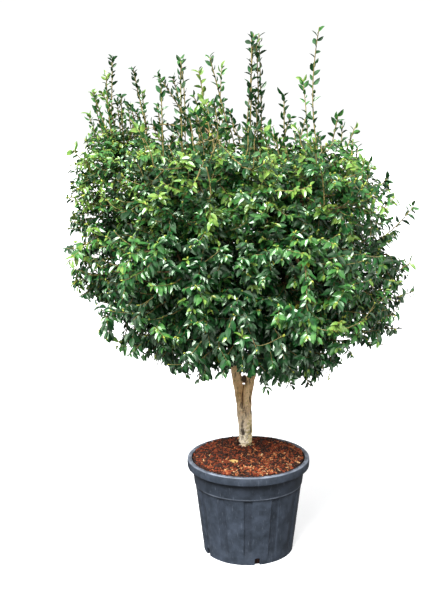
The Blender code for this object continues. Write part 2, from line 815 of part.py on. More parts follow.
def grow_mass(mass, limbs, core, group):
    """Adds the loose lengths of twig and the leaves of one mass to a collection."""
    chance = random.Random("%s %d" % (mass.name, SEED))
    stem = mass_stem(mass)
    paths = []
    for k in range(TRIES * TWIGS):
        tip = tip_target(mass, core, k)
        if tip and off_axis(tip) and len(paths) < TWIGS:
            path = [nearest_on(stem, tip), tip]
            if path_clear(mass, limbs, path, TWIG_RADIUS):
                paths.append((path, False))
    for name, x, y, z in SHOOTS:
        if name == mass.name:
            paths.append((shoot_path(stem, Vector((x, y, z))), True))
    radii = [max(TWIG_RADIUS, mass.gate_radius * STEM_TAPER ** k) for k in range(len(stem))]
    jointed_pieces("stem", stem, radii, group)
    leaves = []
    for path, tall in paths:
        radii = [TWIG_RADIUS + (TWIG_TIP_RADIUS - TWIG_RADIUS) * k / (len(path) - 1)
                 for k in range(len(path))]
        jointed_pieces("twig", path, radii, group)
        bare, count = (SHOOT_BARE, SHOOT_LEAVES) if tall else (TWIG_BARE, LEAVES_PER_TWIG)
        for frame in twig_leaves(path, bare, count, chance.uniform(0, math.tau), chance):
            if leaf_clear(mass, limbs, frame, leaves, tall):
                leaves.append(frame)
    for frame in core_leaves(mass, limbs, core, leaves, chance):
        leaf_piece("leaf", frame, group)


def keep_outer_shell(thing):
    """Drops loose scraps and the shells of sealed hollows: the widest shell is the mass."""
    bm = bmesh.new()
    bm.from_mesh(thing.data)
    unseen = set(bm.verts)
    shells = []
    while unseen:
        shell = {unseen.pop()}
        edge = list(shell)
        while edge:
            near = {e.other_vert(v) for v in edge for e in v.link_edges} - shell
            shell |= near
            edge = list(near)
        unseen -= shell
        shells.append(shell)
    keep = max(shells, key=lambda shell: max(v.co.z for v in shell) - min(v.co.z for v in shell))
    for shell in shells:
        if shell is not keep:
            bmesh.ops.delete(bm, geom=list(shell), context="VERTS")
    bm.to_mesh(thing.data)
    bm.free()


def make_mass(mass, limbs, parts):
    """One mass: core, twigs and leaves joined into a single closed body."""
    loose = make_collection("loose_" + mass.name)
    body, core = core_piece(mass, limbs, parts)
    grow_mass(mass, limbs, core, loose)
    body.data.materials.append(make_material("leaves_" + mass.name, "2c5230", 0.4))
    boolean(body, "UNION", loose, "MANIFOLD")
    apply_modifiers(body)
    keep_outer_shell(body)
    for piece in list(loose.objects):
        bpy.data.objects.remove(piece)
    bpy.data.collections.remove(loose)


def main():
    for old in list(bpy.data.objects):
        bpy.data.objects.remove(old)
    parts = make_collection("potted_sasanqua_camellia")
    make_pot(parts)
    make_soil(parts)
    bark = make_material("camellia_bark", "a58a6c", 0.85)
    make_trunk(parts, bark)
    make_stems(parts, bark)
    masses = ring_masses()
    part_spaces(masses)
    plan_boughs(masses)
    make_boughs(masses, parts, bark)
    limbs = all_limbs(masses)
    for mass in masses:
        make_mass(mass, limbs, parts)


main()
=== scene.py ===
"""The looks of a potted sasanqua camellia: bark, twigs, leaves, mulch, pot, light and camera.

The crown is grown by the rule of the solids, written again here: each mass keeps to its own
egg-shaped space between flat walls, and a stem runs into it from its bough. From that stem the
rule is carried on to branches and fine twigs, with leaves of life size. Lengths are in metres.
"""

import math
import random
from types import SimpleNamespace

import bmesh
import bpy
import numpy as np
from mathutils import Matrix, Vector, noise
from mathutils.geometry import interpolate_bezier


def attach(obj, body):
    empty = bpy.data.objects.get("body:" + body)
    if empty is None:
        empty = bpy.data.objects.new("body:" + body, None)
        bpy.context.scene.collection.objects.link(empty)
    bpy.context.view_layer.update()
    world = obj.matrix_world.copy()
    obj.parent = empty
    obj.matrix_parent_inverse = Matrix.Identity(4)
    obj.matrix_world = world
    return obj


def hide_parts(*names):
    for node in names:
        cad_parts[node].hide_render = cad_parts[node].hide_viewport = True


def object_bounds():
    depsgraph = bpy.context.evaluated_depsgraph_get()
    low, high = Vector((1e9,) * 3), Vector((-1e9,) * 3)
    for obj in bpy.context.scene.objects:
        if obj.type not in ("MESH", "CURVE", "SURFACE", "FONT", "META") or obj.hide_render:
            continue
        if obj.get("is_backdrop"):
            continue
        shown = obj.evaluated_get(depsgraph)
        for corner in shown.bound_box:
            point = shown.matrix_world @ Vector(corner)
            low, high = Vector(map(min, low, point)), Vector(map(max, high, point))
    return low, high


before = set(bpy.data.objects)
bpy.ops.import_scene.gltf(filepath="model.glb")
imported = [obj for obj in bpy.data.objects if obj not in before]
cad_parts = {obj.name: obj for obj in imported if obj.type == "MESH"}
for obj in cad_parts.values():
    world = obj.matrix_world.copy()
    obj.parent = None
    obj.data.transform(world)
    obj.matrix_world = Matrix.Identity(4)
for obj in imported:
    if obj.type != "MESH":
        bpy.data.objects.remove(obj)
CAD_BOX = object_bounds()

UP = Vector((0, 0, 1))
GAP = 0.0003
SEED = 11
SHARP_ANGLE = math.radians(35)
GOLDEN_TURN = math.pi * (3 - math.sqrt(5))

# Pot, as the solid has it but a few millimetres fuller at its rim
POT_HEIGHT = 0.523
RIM_RADIUS = 0.334
RIM_DEPTH = 0.047
RIM_ROUND = 0.006
MOUTH_RADIUS = 0.308
LIP_DEPTH = 0.009
WALL_TOP_RADIUS = 0.3065
FOOT_RADIUS = 0.2495
WALL = 0.009
FLOOR = 0.006
BAND_FOOT = 0.384
BAND_STEP = 0.004
FOOT_CHAMFER = 0.003
GROOVES = 12
GROOVE_WIDTH = 0.052
GROOVE_DEPTH = 0.0075
GROOVE_FOOT = 0.020
GROOVE_HEAD = 0.377
GROOVE_FRONT = math.radians(-90)
NOTCHES = 5
NOTCH_WIDTH = 0.028
NOTCH_HEIGHT = 0.040
NOTCH_FIRST = math.radians(-79)

# Pot, finer than the solid
POT_SIDES = 432
WALL_ROW = 0.006            # height of a row of faces on the ribbed wall
ARC_STEPS = 5               # faces round a rounded edge
RIM_BULGE = 0.0015          # the rim band is a little rounder in its middle
GROOVE_SOFT = 0.008         # width of a groove's sloping side
GROOVE_HEAD_SOFT = 0.010
GROOVE_FOOT_SOFT = 0.070       # the grooves run out slowly at their feet
NOTCH_ROUND = 0.008

# Mulch: its height by the distance from the pot's middle, and its heap about the trunk
SOIL_TOP = 0.545
MOUND = ((0.0, 0.550), (0.150, 0.550), (0.235, 0.541), (0.280, 0.531), (0.300, 0.522))
HEAP = 0.008
HEAP_RADIUS = 0.110
BED_RADIUS = 0.2990
BED_SIDES = 144
BED_ROW = 0.006
BED_RELIEF = 0.004

# Trunk and its two stems, as the solids have them: (x, y, z, radius) from the foot up
TRUNK_Y = 0.084
TRUNK_LINE = (
    (-0.0150, TRUNK_Y, SOIL_TOP + GAP, 0.057),
    (-0.0150, TRUNK_Y, 0.556, 0.048),
    (-0.0155, TRUNK_Y, 0.580, 0.0415),
    (-0.0165, TRUNK_Y, 0.630, 0.0385),
    (-0.0185, TRUNK_Y, 0.690, 0.0385),
    (-0.0214, TRUNK_Y, 0.745, 0.0420),
    (-0.0214, TRUNK_Y, 0.770 - GAP, 0.0425),
)
STEM_LINES = {
    "stem_left": (
        (-0.0415, TRUNK_Y, 0.770, 0.0225),
        (-0.0415, TRUNK_Y, 0.785, 0.0230),
        (-0.0550, 0.083, 0.905, 0.0275),
        (-0.0680, 0.080, 0.974, 0.0250),
        (-0.0950, 0.070, 1.150, 0.0235),
        (-0.1250, 0.050, 1.350, 0.0215),
        (-0.1500, 0.035, 1.600, 0.0180),
        (-0.1800, 0.010, 1.850, 0.0135),
        (-0.2050, 0.000, 1.990, 0.0100),
    ),
    "stem_right": (
        (0.0025, TRUNK_Y, 0.770, 0.0185),
        (0.0025, TRUNK_Y, 0.785, 0.0188),
        (0.0065, 0.083, 0.905, 0.0205),
        (0.0195, 0.080, 0.974, 0.0220),
        (0.0230, 0.066, 1.150, 0.0210),
        (0.0280, 0.048, 1.350, 0.0195),
        (0.0600, 0.030, 1.600, 0.0165),
        (0.1100, 0.010, 1.850, 0.0125),
        (0.1450, 0.000, 1.990, 0.0095),
    ),
}

# Bark, only made here: the same limbs with the fork's own shape, as lines that grow together
BARK_VOXEL = 0.0030
FORK_TOP = 1.0              # above this height the stems' bark keeps to the solids' lines
BARK_LINES = {
    "trunk": (
        (-0.0165, TRUNK_Y, SOIL_TOP + GAP, 0.0375),
        (-0.0165, TRUNK_Y, 0.575, 0.0373),
        (-0.0165, TRUNK_Y, 0.630, 0.0376),
        (-0.0185, TRUNK_Y, 0.690, 0.0390),
        (-0.0210, TRUNK_Y, 0.735, 0.0415),
        (-0.0214, TRUNK_Y, 0.762, 0.0410),
        (-0.0214, TRUNK_Y, 0.776, 0.0300),
        (-0.0214, TRUNK_Y, 0.782, 0.0120),
    ),
    "stem_left": (
        (-0.0440, TRUNK_Y, 0.690, 0.0140),
        (-0.0500, TRUNK_Y, 0.750, 0.0150),
        (-0.0514, TRUNK_Y, 0.780, 0.0150),
        (-0.0524, 0.0835, 0.825, 0.0184),
        (-0.0568, 0.0832, 0.879, 0.0240),
        (-0.0618, 0.0815, 0.934, 0.0268),
        (-0.0690, 0.0800, 0.980, 0.0262),
    ),
    "stem_right": (
        (-0.0120, TRUNK_Y, 0.690, 0.0240),
        (-0.0065, TRUNK_Y, 0.750, 0.0250),
        (-0.0060, TRUNK_Y, 0.780, 0.0248),
        (-0.0078, 0.0835, 0.825, 0.0250),
        (-0.0009, 0.0832, 0.879, 0.0264),
        (0.0130, 0.0815, 0.934, 0.0232),
        (0.0198, 0.0800, 0.980, 0.0230),
    ),
    # where the trunk's front and back run out into the stems
    "left_front": (
        (-0.0400, TRUNK_Y - 0.0150, 0.735, 0.0160),
        (-0.0480, TRUNK_Y - 0.0125, 0.790, 0.0160),
        (-0.0530, TRUNK_Y - 0.0060, 0.845, 0.0165),
    ),
    "left_back": (
        (-0.0400, TRUNK_Y + 0.0150, 0.735, 0.0160),
        (-0.0480, TRUNK_Y + 0.0125, 0.790, 0.0160),
        (-0.0530, TRUNK_Y + 0.0060, 0.845, 0.0165),
    ),
    "right_front": (
        (-0.0080, TRUNK_Y - 0.0170, 0.735, 0.0195),
        (-0.0065, TRUNK_Y - 0.0110, 0.790, 0.0215),
        (-0.0050, TRUNK_Y - 0.0040, 0.845, 0.0225),
    ),
    "right_back": (
        (-0.0080, TRUNK_Y + 0.0170, 0.735, 0.0195),
        (-0.0065, TRUNK_Y + 0.0110, 0.790, 0.0215),
        (-0.0050, TRUNK_Y + 0.0040, 0.845, 0.0225),
    ),
    "web": (                # bark behind the cleft between the stems
        (-0.0341, 0.0950, 0.740, 0.0110),
        (-0.0341, 0.0930, 0.825, 0.0110),
        (-0.0300, 0.0920, 0.879, 0.0100),
        (-0.0260, 0.0930, 0.900, 0.0070),
    ),
    "stub": (               # the cut-off branch between the stems
        (-0.0320, 0.0920, 0.914, 0.0080),
        (-0.0240, 0.0840, 0.926, 0.0112),
        (-0.0225, 0.0820, 0.945, 0.0112),
        (-0.0215, 0.0810, 0.956, 0.0080),
    ),
}
# Painted shade on the bark: the cleft's line as (height, x), its width, and the middle and half sizes
# of the dark on the cut-off branch
CLEFT = ((0.775, -0.0341), (0.825, -0.0341), (0.879, -0.0290), (0.905, -0.0235))
CLEFT_WIDTH = 0.0030
STUB_MIDDLE = Vector((-0.0230, 0.0830, 0.936))
STUB_SIZE = Vector((0.0135, 0.0200, 0.0260))
SCAR = Vector((-0.0285, TRUNK_Y - 0.038, 0.640))
SCAR_SIZE = Vector((0.011, 0.030, 0.026))
SCAR_DEPTH = 0.007
FURROW = 0.0026             # depth of the bark's long furrows
FURROW_WIDTH = 0.020
FURROW_LENGTH = 0.060
LUMP = 0.0022               # height of the bark's lumps
LUMP_WIDTH = 0.030
GRAIN = 0.0007
GRAIN_WIDTH = 0.006

# Crown: rings of foliage masses about a leaning axis, as the solids have them
CROWN_FOOT = 1.300
CROWN_X = -0.015
CROWN_LEAN = -0.10
CROWN_RISE = -0.11
RINGS = (
    SimpleNamespace(name="lower", count=6, first=30, height=1.320, distance=0.440,
                    width=0.370, tall=0.300, root=(1.010, 0.065), bough=0.0135),
    SimpleNamespace(name="middle", count=6, first=0, height=1.590, distance=0.500,
                    width=0.405, tall=0.340, root=(1.210, 0.085), bough=0.0130),
    SimpleNamespace(name="upper", count=5, first=180, height=1.985, distance=0.460,
                    width=0.375, tall=0.320, root=(1.510, 0.090), bough=0.0110),
    SimpleNamespace(name="top", count=2, first=180, height=2.130, distance=0.170,
                    width=0.300, tall=0.240, root=None, bough=None),
)
SAME_HEIGHT = 0.20
WALL_CLEAR = 0.002
BOUGH_POINTS = 4
BOUGH_SAG = 0.10
BOUGH_STOUT = 0.72
BOUGH_TAPER = 0.62
GATE_SHARE = 0.80
ENTRY_DROP = 0.15
ENTRY_LENGTH = 0.05
ENTRY_SHARE = 0.3
STEM_LIFT = 0.5
STEM_BEYOND = 0.5
NEARLY_UPRIGHT = 0.05
SPREAD_UP = 0.7548776662
SPREAD_ROUND = 0.5698402910

# Fine growth, only made here. Habit of each ring: twigs in a cubic metre, lift of a twig's
# tip, droop of its leaves (least, most), how far they look outwards against upwards, how fresh
# their green is, and their size.
#
# Then the run of a twig that carries leaves, the gap between leaves at its tip and further in,
# and the angle between twig and leaf.
TWIG = dict(step=(0.006, 0.022), spread=(48, 76))
SHOOT = dict(leafy=0.62, spread=(34, 58), droop=(-0.25, 0.15), outward=0.0, fresh=0.0)
HABITS = {
    "lower": SimpleNamespace(twigs=4300, leafy=0.17, lift=0.10, droop=(0.45, 1.10), outward=0.9,
                             fresh=-0.12, size=0.98, **TWIG),
    # painted shade: the front mass of the lower ring gets darker greens than the rest of its ring, for
    # the shade of the crown's low middle in front of the trunk
    "lower_5": SimpleNamespace(twigs=4100, leafy=0.17, lift=0.10, droop=(0.45, 1.10), outward=0.9,
                               fresh=-0.36, size=0.98, **TWIG),
    "middle": SimpleNamespace(twigs=4400, leafy=0.17, lift=0.25, droop=(0.25, 0.85), outward=0.8,
                              fresh=-0.04, size=0.93, **TWIG),
    "middle_4": SimpleNamespace(twigs=5900, leafy=0.20, lift=0.25, droop=(0.25, 0.85), outward=0.8,
                                fresh=0.02, size=0.93, **TWIG),
    "middle_5": SimpleNamespace(twigs=4300, leafy=0.17, lift=0.25, droop=(0.25, 0.85), outward=0.8,
                                fresh=-0.10, size=0.96, **TWIG),
    "upper": SimpleNamespace(twigs=4800, leafy=0.24, lift=0.70, droop=(0.00, 0.55), outward=0.6,
                             fresh=0.16, size=0.84, **TWIG),
    "upper_1": SimpleNamespace(twigs=7200, leafy=0.24, lift=0.80, droop=(0.00, 0.45), outward=0.5,
                               fresh=0.16, size=0.70, **TWIG),
    "top": SimpleNamespace(twigs=4400, leafy=0.24, lift=0.80, droop=(0.00, 0.55), outward=0.5,
                           fresh=0.10, size=0.84, **TWIG),
    "bushy shoot": SimpleNamespace(step=(0.005, 0.012), size=0.66, **SHOOT),
    "slender shoot": SimpleNamespace(step=(0.009, 0.021), size=0.84, **SHOOT),
    "side shoot": SimpleNamespace(leafy=0.30, step=(0.006, 0.015), spread=(44, 70),
                                  droop=(0.10, 0.60), outward=0.7, fresh=0.05, size=0.92),
}
PLACE_STEP = 0.028          # between the places along a twig
BRANCHES = 14               # main branches of a mass
BRANCH_DEPTH = (0.70, 0.92)
TWIG_DEPTH = (0.42, 1.0)
SWELL = 0.19                # level twigs reach out of the mass's egg by this share
TWIG_LEAST = 0.11           # shortest twig
FOLLOW = 0.9                # how strongly a twig leaves along its parent's way
TURN_COST = 0.5             # a fork that turns back costs up to this share more
CLUMP = 0.17                # size of the clumps that the twigs stand in
CLUMP_CUT = -0.17           # where the clump pattern is below this there is a gap
FLANK = (0.45, 0.80)        # from the crown's middle to its sides the gaps close
FLANK_FULLER = 0.35
BACK = (0.15, 0.50)          # and so they do from the middle to the back
BACK_FULLER = 0.22
SEAM = 0.07                 # and nearer another mass than this
SEAM_FULLER = 0.30
HEART = Vector((-0.035, 0.03, 1.68))         # middle of the crown, and its half sizes
HEART_HALF = Vector((0.925, 0.81, 0.74))
HEART_SHARE = 0.62          # nearer the middle than this share there are few twigs
HEART_FEW = 0.60
HULL_BULGE = (4, 2.6, 4)    # from the front the crown's outline is between an egg and a box
BARE_RADIUS = 0.10
# Hollows in the crown's outline, as egg-shaped spaces: middle and half sizes
HOLLOWS = (((0.88, 0.0, 1.680), (0.13, 0.50, 0.075)),
           ((-0.94, 0.0, 1.640), (0.07, 0.45, 0.070)),
           ((-0.90, 0.0, 1.250), (0.16, 0.50, 0.075)))
# Highest leaves from left to right, but for the shoots; the line fans out towards the back
CREST = ((-0.95, 2.10), (-0.88, 2.15), (-0.82, 2.27), (-0.76, 2.33), (-0.69, 2.33),
         (-0.65, 2.27), (-0.49, 2.24),
         (-0.457, 2.19), (-0.431, 2.14), (-0.400, 2.15), (-0.353, 2.19), (-0.105, 2.19),
         (-0.042, 2.18), (0.02, 2.22), (0.08, 2.21), (0.144, 2.17), (0.206, 2.21),
         (0.268, 2.18), (0.331, 2.20), (0.393, 2.18), (0.455, 2.25), (0.517, 2.22),
         (0.579, 2.14), (0.641, 2.12), (0.704, 2.08), (0.766, 1.97), (0.90, 1.90))
CREST_FAN = 0.2
# Lowest leaves: by their distance from the crown's axis, and in front also by where they are
# from left to right
SKIRT = ((0.0, 0.97), (0.36, 0.98), (0.50, 1.07), (0.66, 1.15), (0.79, 1.25), (1.2, 1.7))
FRONT_SKIRT = ((-0.95, 1.48), (-0.75, 1.34), (-0.66, 1.22), (-0.57, 1.13), (-0.43, 1.07),
               (-0.20, 1.05), (-0.12, 1.08), (-0.09, 1.15), (0.045, 1.15), (0.07, 0.99), (0.36, 0.98),
               (0.45, 1.14), (0.51, 1.225), (0.70, 1.245), (0.79, 1.29), (0.85, 1.39),
               (0.95, 1.46))
FRONT_DEPTH = 0.15
# Highest short shoots, from left to right
SHOOT_TOPS = ((-0.95, 2.05), (-0.88, 2.12), (-0.84, 2.20), (-0.78, 2.45), (-0.72, 2.50),
              (-0.66, 2.45), (-0.60, 2.38), (-0.50, 2.33), (-0.46, 2.21), (-0.43, 2.15),
              (-0.40, 2.18), (-0.35, 2.36), (-0.29, 2.36), (-0.23, 2.42), (-0.16, 2.42), (-0.10, 2.34),
              (-0.05, 2.22), (0.00, 2.31), (0.08, 2.29), (0.14, 2.21), (0.20, 2.31),
              (0.27, 2.21), (0.33, 2.26), (0.39, 2.23), (0.45, 2.32), (0.51, 2.28),
              (0.57, 2.17), (0.70, 2.08), (0.80, 1.95))
WALL_SLACK = 0.030          # leaves of neighbours mingle by this much
EGG_SLACK = Vector((1.22, 1.22, 1.07))
LIMB_CLEAR = 0.002
BOX_CLEAR = 0.006           # leaves and shoots keep inside the plant's box by this much
BUD_CLEAR = 0.020           # and twigs that carry a bud by this much

LEAF_LENGTH = 0.053
LEAF_WIDTH = 0.026
LEAF_STEP_RUN = 0.07
FACING_JITTER = 0.7
UPRIGHT = 0.65              # a twig steeper than this has leaves on all its sides
TIP_RUN = 0.012             # leaves nearer a twig's tip than this are younger and smaller
SHOOT_TIP_RUN = 0.030       # and so is the tip of a long shoot
TIP_FRESH = 0.34
TIP_SIZE = 0.6
YELLOW_SHARE = 0.0008       # of leaves that have turned
LEAVES_PER_PIECE = 12000

TWIG_TIP_RADIUS = 0.0015
TWIG_GROWTH = 0.43          # how a twig thickens with the number of tips it carries
TWIG_SIDES = 3
YOUNG_TIPS = 7              # wood that carries more tips than this is old
SHOOT_RADIUS = 0.0036
SHOOT_SIDES = 5
BUD_LENGTH = 0.015
BUD_WIDTH = 0.0085
BUD_SHARE = 0.5
BUD_STRING = (1, 1, 1, 2, 4)
BUD_HEART = 0.78            # nearer the crown's middle than this share there are no buds

# Long shoots that stand out of the crown: mass, then foot, bend and tip
SHOOTS = (
    ("upper_1", (-0.727, -0.020, 2.281), (-0.760, -0.020, 2.381), (-0.788, -0.030, 2.472)),
    ("upper_1", (-0.700, -0.030, 2.260), (-0.712, -0.040, 2.400), (-0.716, -0.050, 2.550)),
    ("upper_1", (-0.745, 0.040, 2.240), (-0.775, 0.040, 2.340), (-0.785, 0.040, 2.430)),
    ("upper_1", (-0.655, 0.000, 2.260), (-0.664, 0.000, 2.350), (-0.670, 0.000, 2.430)),
    ("upper_1", (-0.773, 0.000, 2.214), (-0.793, -0.020, 2.291), (-0.817, -0.020, 2.362)),
    ("upper_1", (-0.707, 0.020, 2.280), (-0.701, 0.030, 2.467), (-0.697, 0.050, 2.645)),
    ("upper_1", (-0.635, -0.080, 2.277), (-0.637, -0.090, 2.367), (-0.637, -0.100, 2.451)),
    ("upper_1", (-0.609, 0.050, 2.290), (-0.616, 0.050, 2.350), (-0.620, 0.050, 2.403)),
    ("upper_1", (-0.520, -0.040, 2.291), (-0.553, -0.040, 2.446), (-0.580, -0.040, 2.584)),
    ("upper_1", (-0.529, 0.040, 2.300), (-0.539, 0.040, 2.390), (-0.547, 0.040, 2.472)),
    ("upper_1", (-0.457, 0.100, 2.278), (-0.466, 0.100, 2.340), (-0.475, 0.100, 2.402)),
    ("upper_1", (-0.402, 0.060, 2.220), (-0.385, 0.060, 2.270), (-0.369, 0.060, 2.321)),
    ("upper_1", (-0.298, -0.120, 2.322), (-0.384, -0.140, 2.459), (-0.444, -0.160, 2.551)),
    ("upper_1", (-0.356, 0.100, 2.300), (-0.365, 0.100, 2.440), (-0.395, 0.100, 2.550)),
    ("top_1", (-0.324, -0.020, 2.230), (-0.325, -0.030, 2.461), (-0.343, -0.040, 2.638)),
    ("top_1", (-0.230, 0.080, 2.300), (-0.256, 0.080, 2.390), (-0.286, 0.080, 2.453)),
    ("top_1", (-0.103, -0.050, 2.297), (-0.163, -0.060, 2.525), (-0.193, -0.070, 2.642)),
    ("top_1", (-0.215, 0.030, 2.300), (-0.237, 0.030, 2.480), (-0.254, 0.030, 2.577)),
    ("top_2", (-0.067, -0.050, 2.260), (-0.082, -0.050, 2.320), (-0.095, -0.050, 2.372)),
    ("top_2", (-0.011, -0.030, 2.281), (0.007, -0.030, 2.471), (0.027, -0.030, 2.756)),
    ("top_2", (0.069, 0.040, 2.234), (0.063, 0.040, 2.493), (0.053, 0.040, 2.766)),
    ("top_2", (0.043, 0.000, 2.300), (0.040, 0.000, 2.390), (0.027, 0.000, 2.468)),
    ("top_2", (0.010, -0.060, 2.260), (0.014, -0.050, 2.500), (0.016, -0.040, 2.742)),
    ("top_2", (0.045, 0.020, 2.260), (0.050, 0.010, 2.480), (0.040, 0.000, 2.705)),
    ("top_2", (0.181, -0.080, 2.260), (0.180, -0.080, 2.370), (0.178, -0.080, 2.458)),
    ("top_2", (0.182, -0.040, 2.240), (0.197, -0.040, 2.300), (0.215, -0.040, 2.342)),
    ("upper_3", (0.333, -0.200, 2.240), (0.315, -0.210, 2.501), (0.342, -0.220, 2.776)),
    ("upper_3", (0.411, -0.180, 2.200), (0.429, -0.190, 2.290), (0.441, -0.200, 2.352)),
    ("upper_3", (0.494, -0.100, 2.180), (0.518, -0.100, 2.245), (0.537, -0.100, 2.298)),
    ("upper_3", (0.261, -0.100, 2.240), (0.276, -0.100, 2.295), (0.285, -0.100, 2.338)),
    ("upper_3", (0.575, -0.120, 2.040), (0.600, -0.120, 2.070), (0.630, -0.120, 2.105)),
    ("upper_3", (0.640, -0.100, 1.971), (0.675, -0.100, 2.007), (0.710, -0.100, 2.043)),
    ("middle_1", (0.706, -0.040, 1.738), (0.775, -0.050, 1.801), (0.850, -0.060, 1.895)),
    ("middle_1", (0.664, -0.100, 1.859), (0.703, -0.100, 1.900), (0.743, -0.100, 1.942)),
    ("middle_1", (0.740, -0.100, 1.545), (0.790, -0.100, 1.575), (0.838, -0.100, 1.608)),
    ("middle_1", (0.750, 0.020, 1.398), (0.820, 0.030, 1.410), (0.880, 0.040, 1.432)),
    ("lower_1", (0.680, 0.000, 1.228), (0.735, 0.000, 1.246), (0.780, 0.000, 1.285)),
    ("upper_1", (-0.800, 0.000, 2.064), (-0.850, 0.000, 2.115), (-0.905, 0.000, 2.180)),
    ("middle_4", (-0.810, 0.000, 1.920), (-0.860, 0.000, 1.960), (-0.912, 0.000, 2.000)),
    ("middle_4", (-0.815, -0.040, 1.785), (-0.860, -0.050, 1.815), (-0.910, -0.050, 1.850)),
    ("middle_4", (-0.820, 0.020, 1.427), (-0.870, 0.020, 1.455), (-0.918, 0.030, 1.495)),
    ("middle_4", (-0.830, -0.100, 1.610), (-0.870, -0.100, 1.645), (-0.905, -0.100, 1.690)),
    ("upper_2", (-0.410, -0.330, 2.180), (-0.414, -0.330, 2.380), (-0.415, -0.330, 2.525)),
    ("upper_2", (-0.320, -0.300, 2.180), (-0.322, -0.320, 2.420), (-0.320, -0.330, 2.610)),
    ("upper_4", (0.330, 0.380, 2.150), (0.320, 0.430, 2.380), (0.300, 0.460, 2.550)),
    ("upper_5", (-0.170, 0.420, 2.160), (-0.160, 0.470, 2.400), (-0.150, 0.500, 2.610)),
    ("lower_3", (-0.700, 0.100, 1.350), (-0.770, 0.110, 1.352), (-0.835, 0.120, 1.370)),
    ("lower_4", (-0.660, -0.140, 1.330), (-0.720, -0.150, 1.335), (-0.770, -0.160, 1.345)),
    ("lower_4", (-0.560, -0.220, 1.230), (-0.615, -0.240, 1.225), (-0.665, -0.260, 1.225)),
    ("lower_6", (0.580, -0.180, 1.205), (0.635, -0.190, 1.205), (0.695, -0.200, 1.195)),
    ("lower_6", (0.640, -0.140, 1.280), (0.710, -0.150, 1.275), (0.775, -0.160, 1.270)),
    ("lower_4", (-0.330, -0.260, 1.130), (-0.325, -0.270, 1.090), (-0.315, -0.280, 1.040)),
    ("lower_5", (-0.240, -0.340, 1.100), (-0.245, -0.350, 1.070), (-0.250, -0.355, 1.035)),
    ("lower_5", (0.060, -0.330, 1.080), (0.075, -0.335, 1.040), (0.095, -0.340, 0.998)),
    ("lower_6", (0.190, -0.270, 1.070), (0.205, -0.275, 1.030), (0.225, -0.280, 0.990)),
    ("lower_6", (0.285, -0.230, 1.060), (0.300, -0.235, 1.020), (0.320, -0.240, 0.984)),
    ("lower_2", (0.000, 0.720, 1.340), (-0.005, 0.790, 1.360), (-0.010, 0.850, 1.395)),
    ("lower_5", (-0.020, -0.680, 1.330), (-0.025, -0.735, 1.350), (-0.030, -0.790, 1.385)),
)
SHORT_SHOOTS = {"upper": 18, "top": 7}      # tried on a mass, besides the ones listed
SHORT_SHOOT_RISE = (0.07, 0.26)
LEAST_RISE = 0.04
SIDEWAYS = 1.3              # a shoot that rises by less than this share of its run grows sideways


def to_linear(channel):
    return channel / 12.92 if channel <= 0.04045 else ((channel + 0.055) / 1.055) ** 2.4


def colour(hex_colour):
    """Linear colour with alpha from an sRGB hex value."""
    return (*(to_linear(int(hex_colour[i:i + 2], 16) / 255) for i in (0, 2, 4)), 1)


def add_node(tree, kind, inputs=None, **settings):
    """Adds a node: settings are its properties, and an input is a value or a socket to link."""
    made = tree.nodes.new(kind)
    for name, value in settings.items():
        setattr(made, name, value)
    for name, value in (inputs or {}).items():
        if isinstance(value, bpy.types.NodeSocket):
            tree.links.new(value, made.inputs[name])
        else:
            made.inputs[name].default_value = value
    return made


def new_finish(name, roughness, ior, **extras):
    """A material with its shader; what is the same all over is set on the shader itself."""
    material = bpy.data.materials.new(name)
    material.use_nodes = True
    tree = material.node_tree
    shader = tree.nodes["Principled BSDF"]
    shader.inputs["Roughness"].default_value = roughness
    shader.inputs["IOR"].default_value = ior
    for socket, value in extras.items():
        shader.inputs[socket.replace("_", " ")].default_value = value
    place = add_node(tree, "ShaderNodeTexCoord").outputs["Object"]
    return material, tree, shader, place


def mottled_finish(name, tones, patch, grain, depth, roughness, ior, **extras):
    """A finish that wanders between two tones in patches, over a fine grain.

    patch and grain are the sizes of a patch and of a grain, and depth is the grain's relief.
    """
    material, tree, shader, place = new_finish(name, roughness, ior, **extras)
    patches = add_node(tree, "ShaderNodeTexNoise",
                       {"Vector": place, "Scale": 1 / patch, "Detail": 3.0})
    share = add_node(tree, "ShaderNodeMapRange",
                     {"Value": patches.outputs["Fac"], "From Min": 0.35, "From Max": 0.65})
    mixed = add_node(tree, "ShaderNodeMix",
                     {0: share.outputs["Result"], 6: colour(tones[0]), 7: colour(tones[1])},
                     data_type="RGBA")
    tree.links.new(mixed.outputs[2], shader.inputs["Base Color"])
    fine = add_node(tree, "ShaderNodeTexNoise",
                    {"Vector": place, "Scale": 1 / grain, "Detail": 2.0})
    relief = add_node(tree, "ShaderNodeBump",
                      {"Height": fine.outputs["Fac"], "Strength": 1.0, "Distance": depth})
    tree.links.new(relief.outputs["Normal"], shader.inputs["Normal"])
    return material


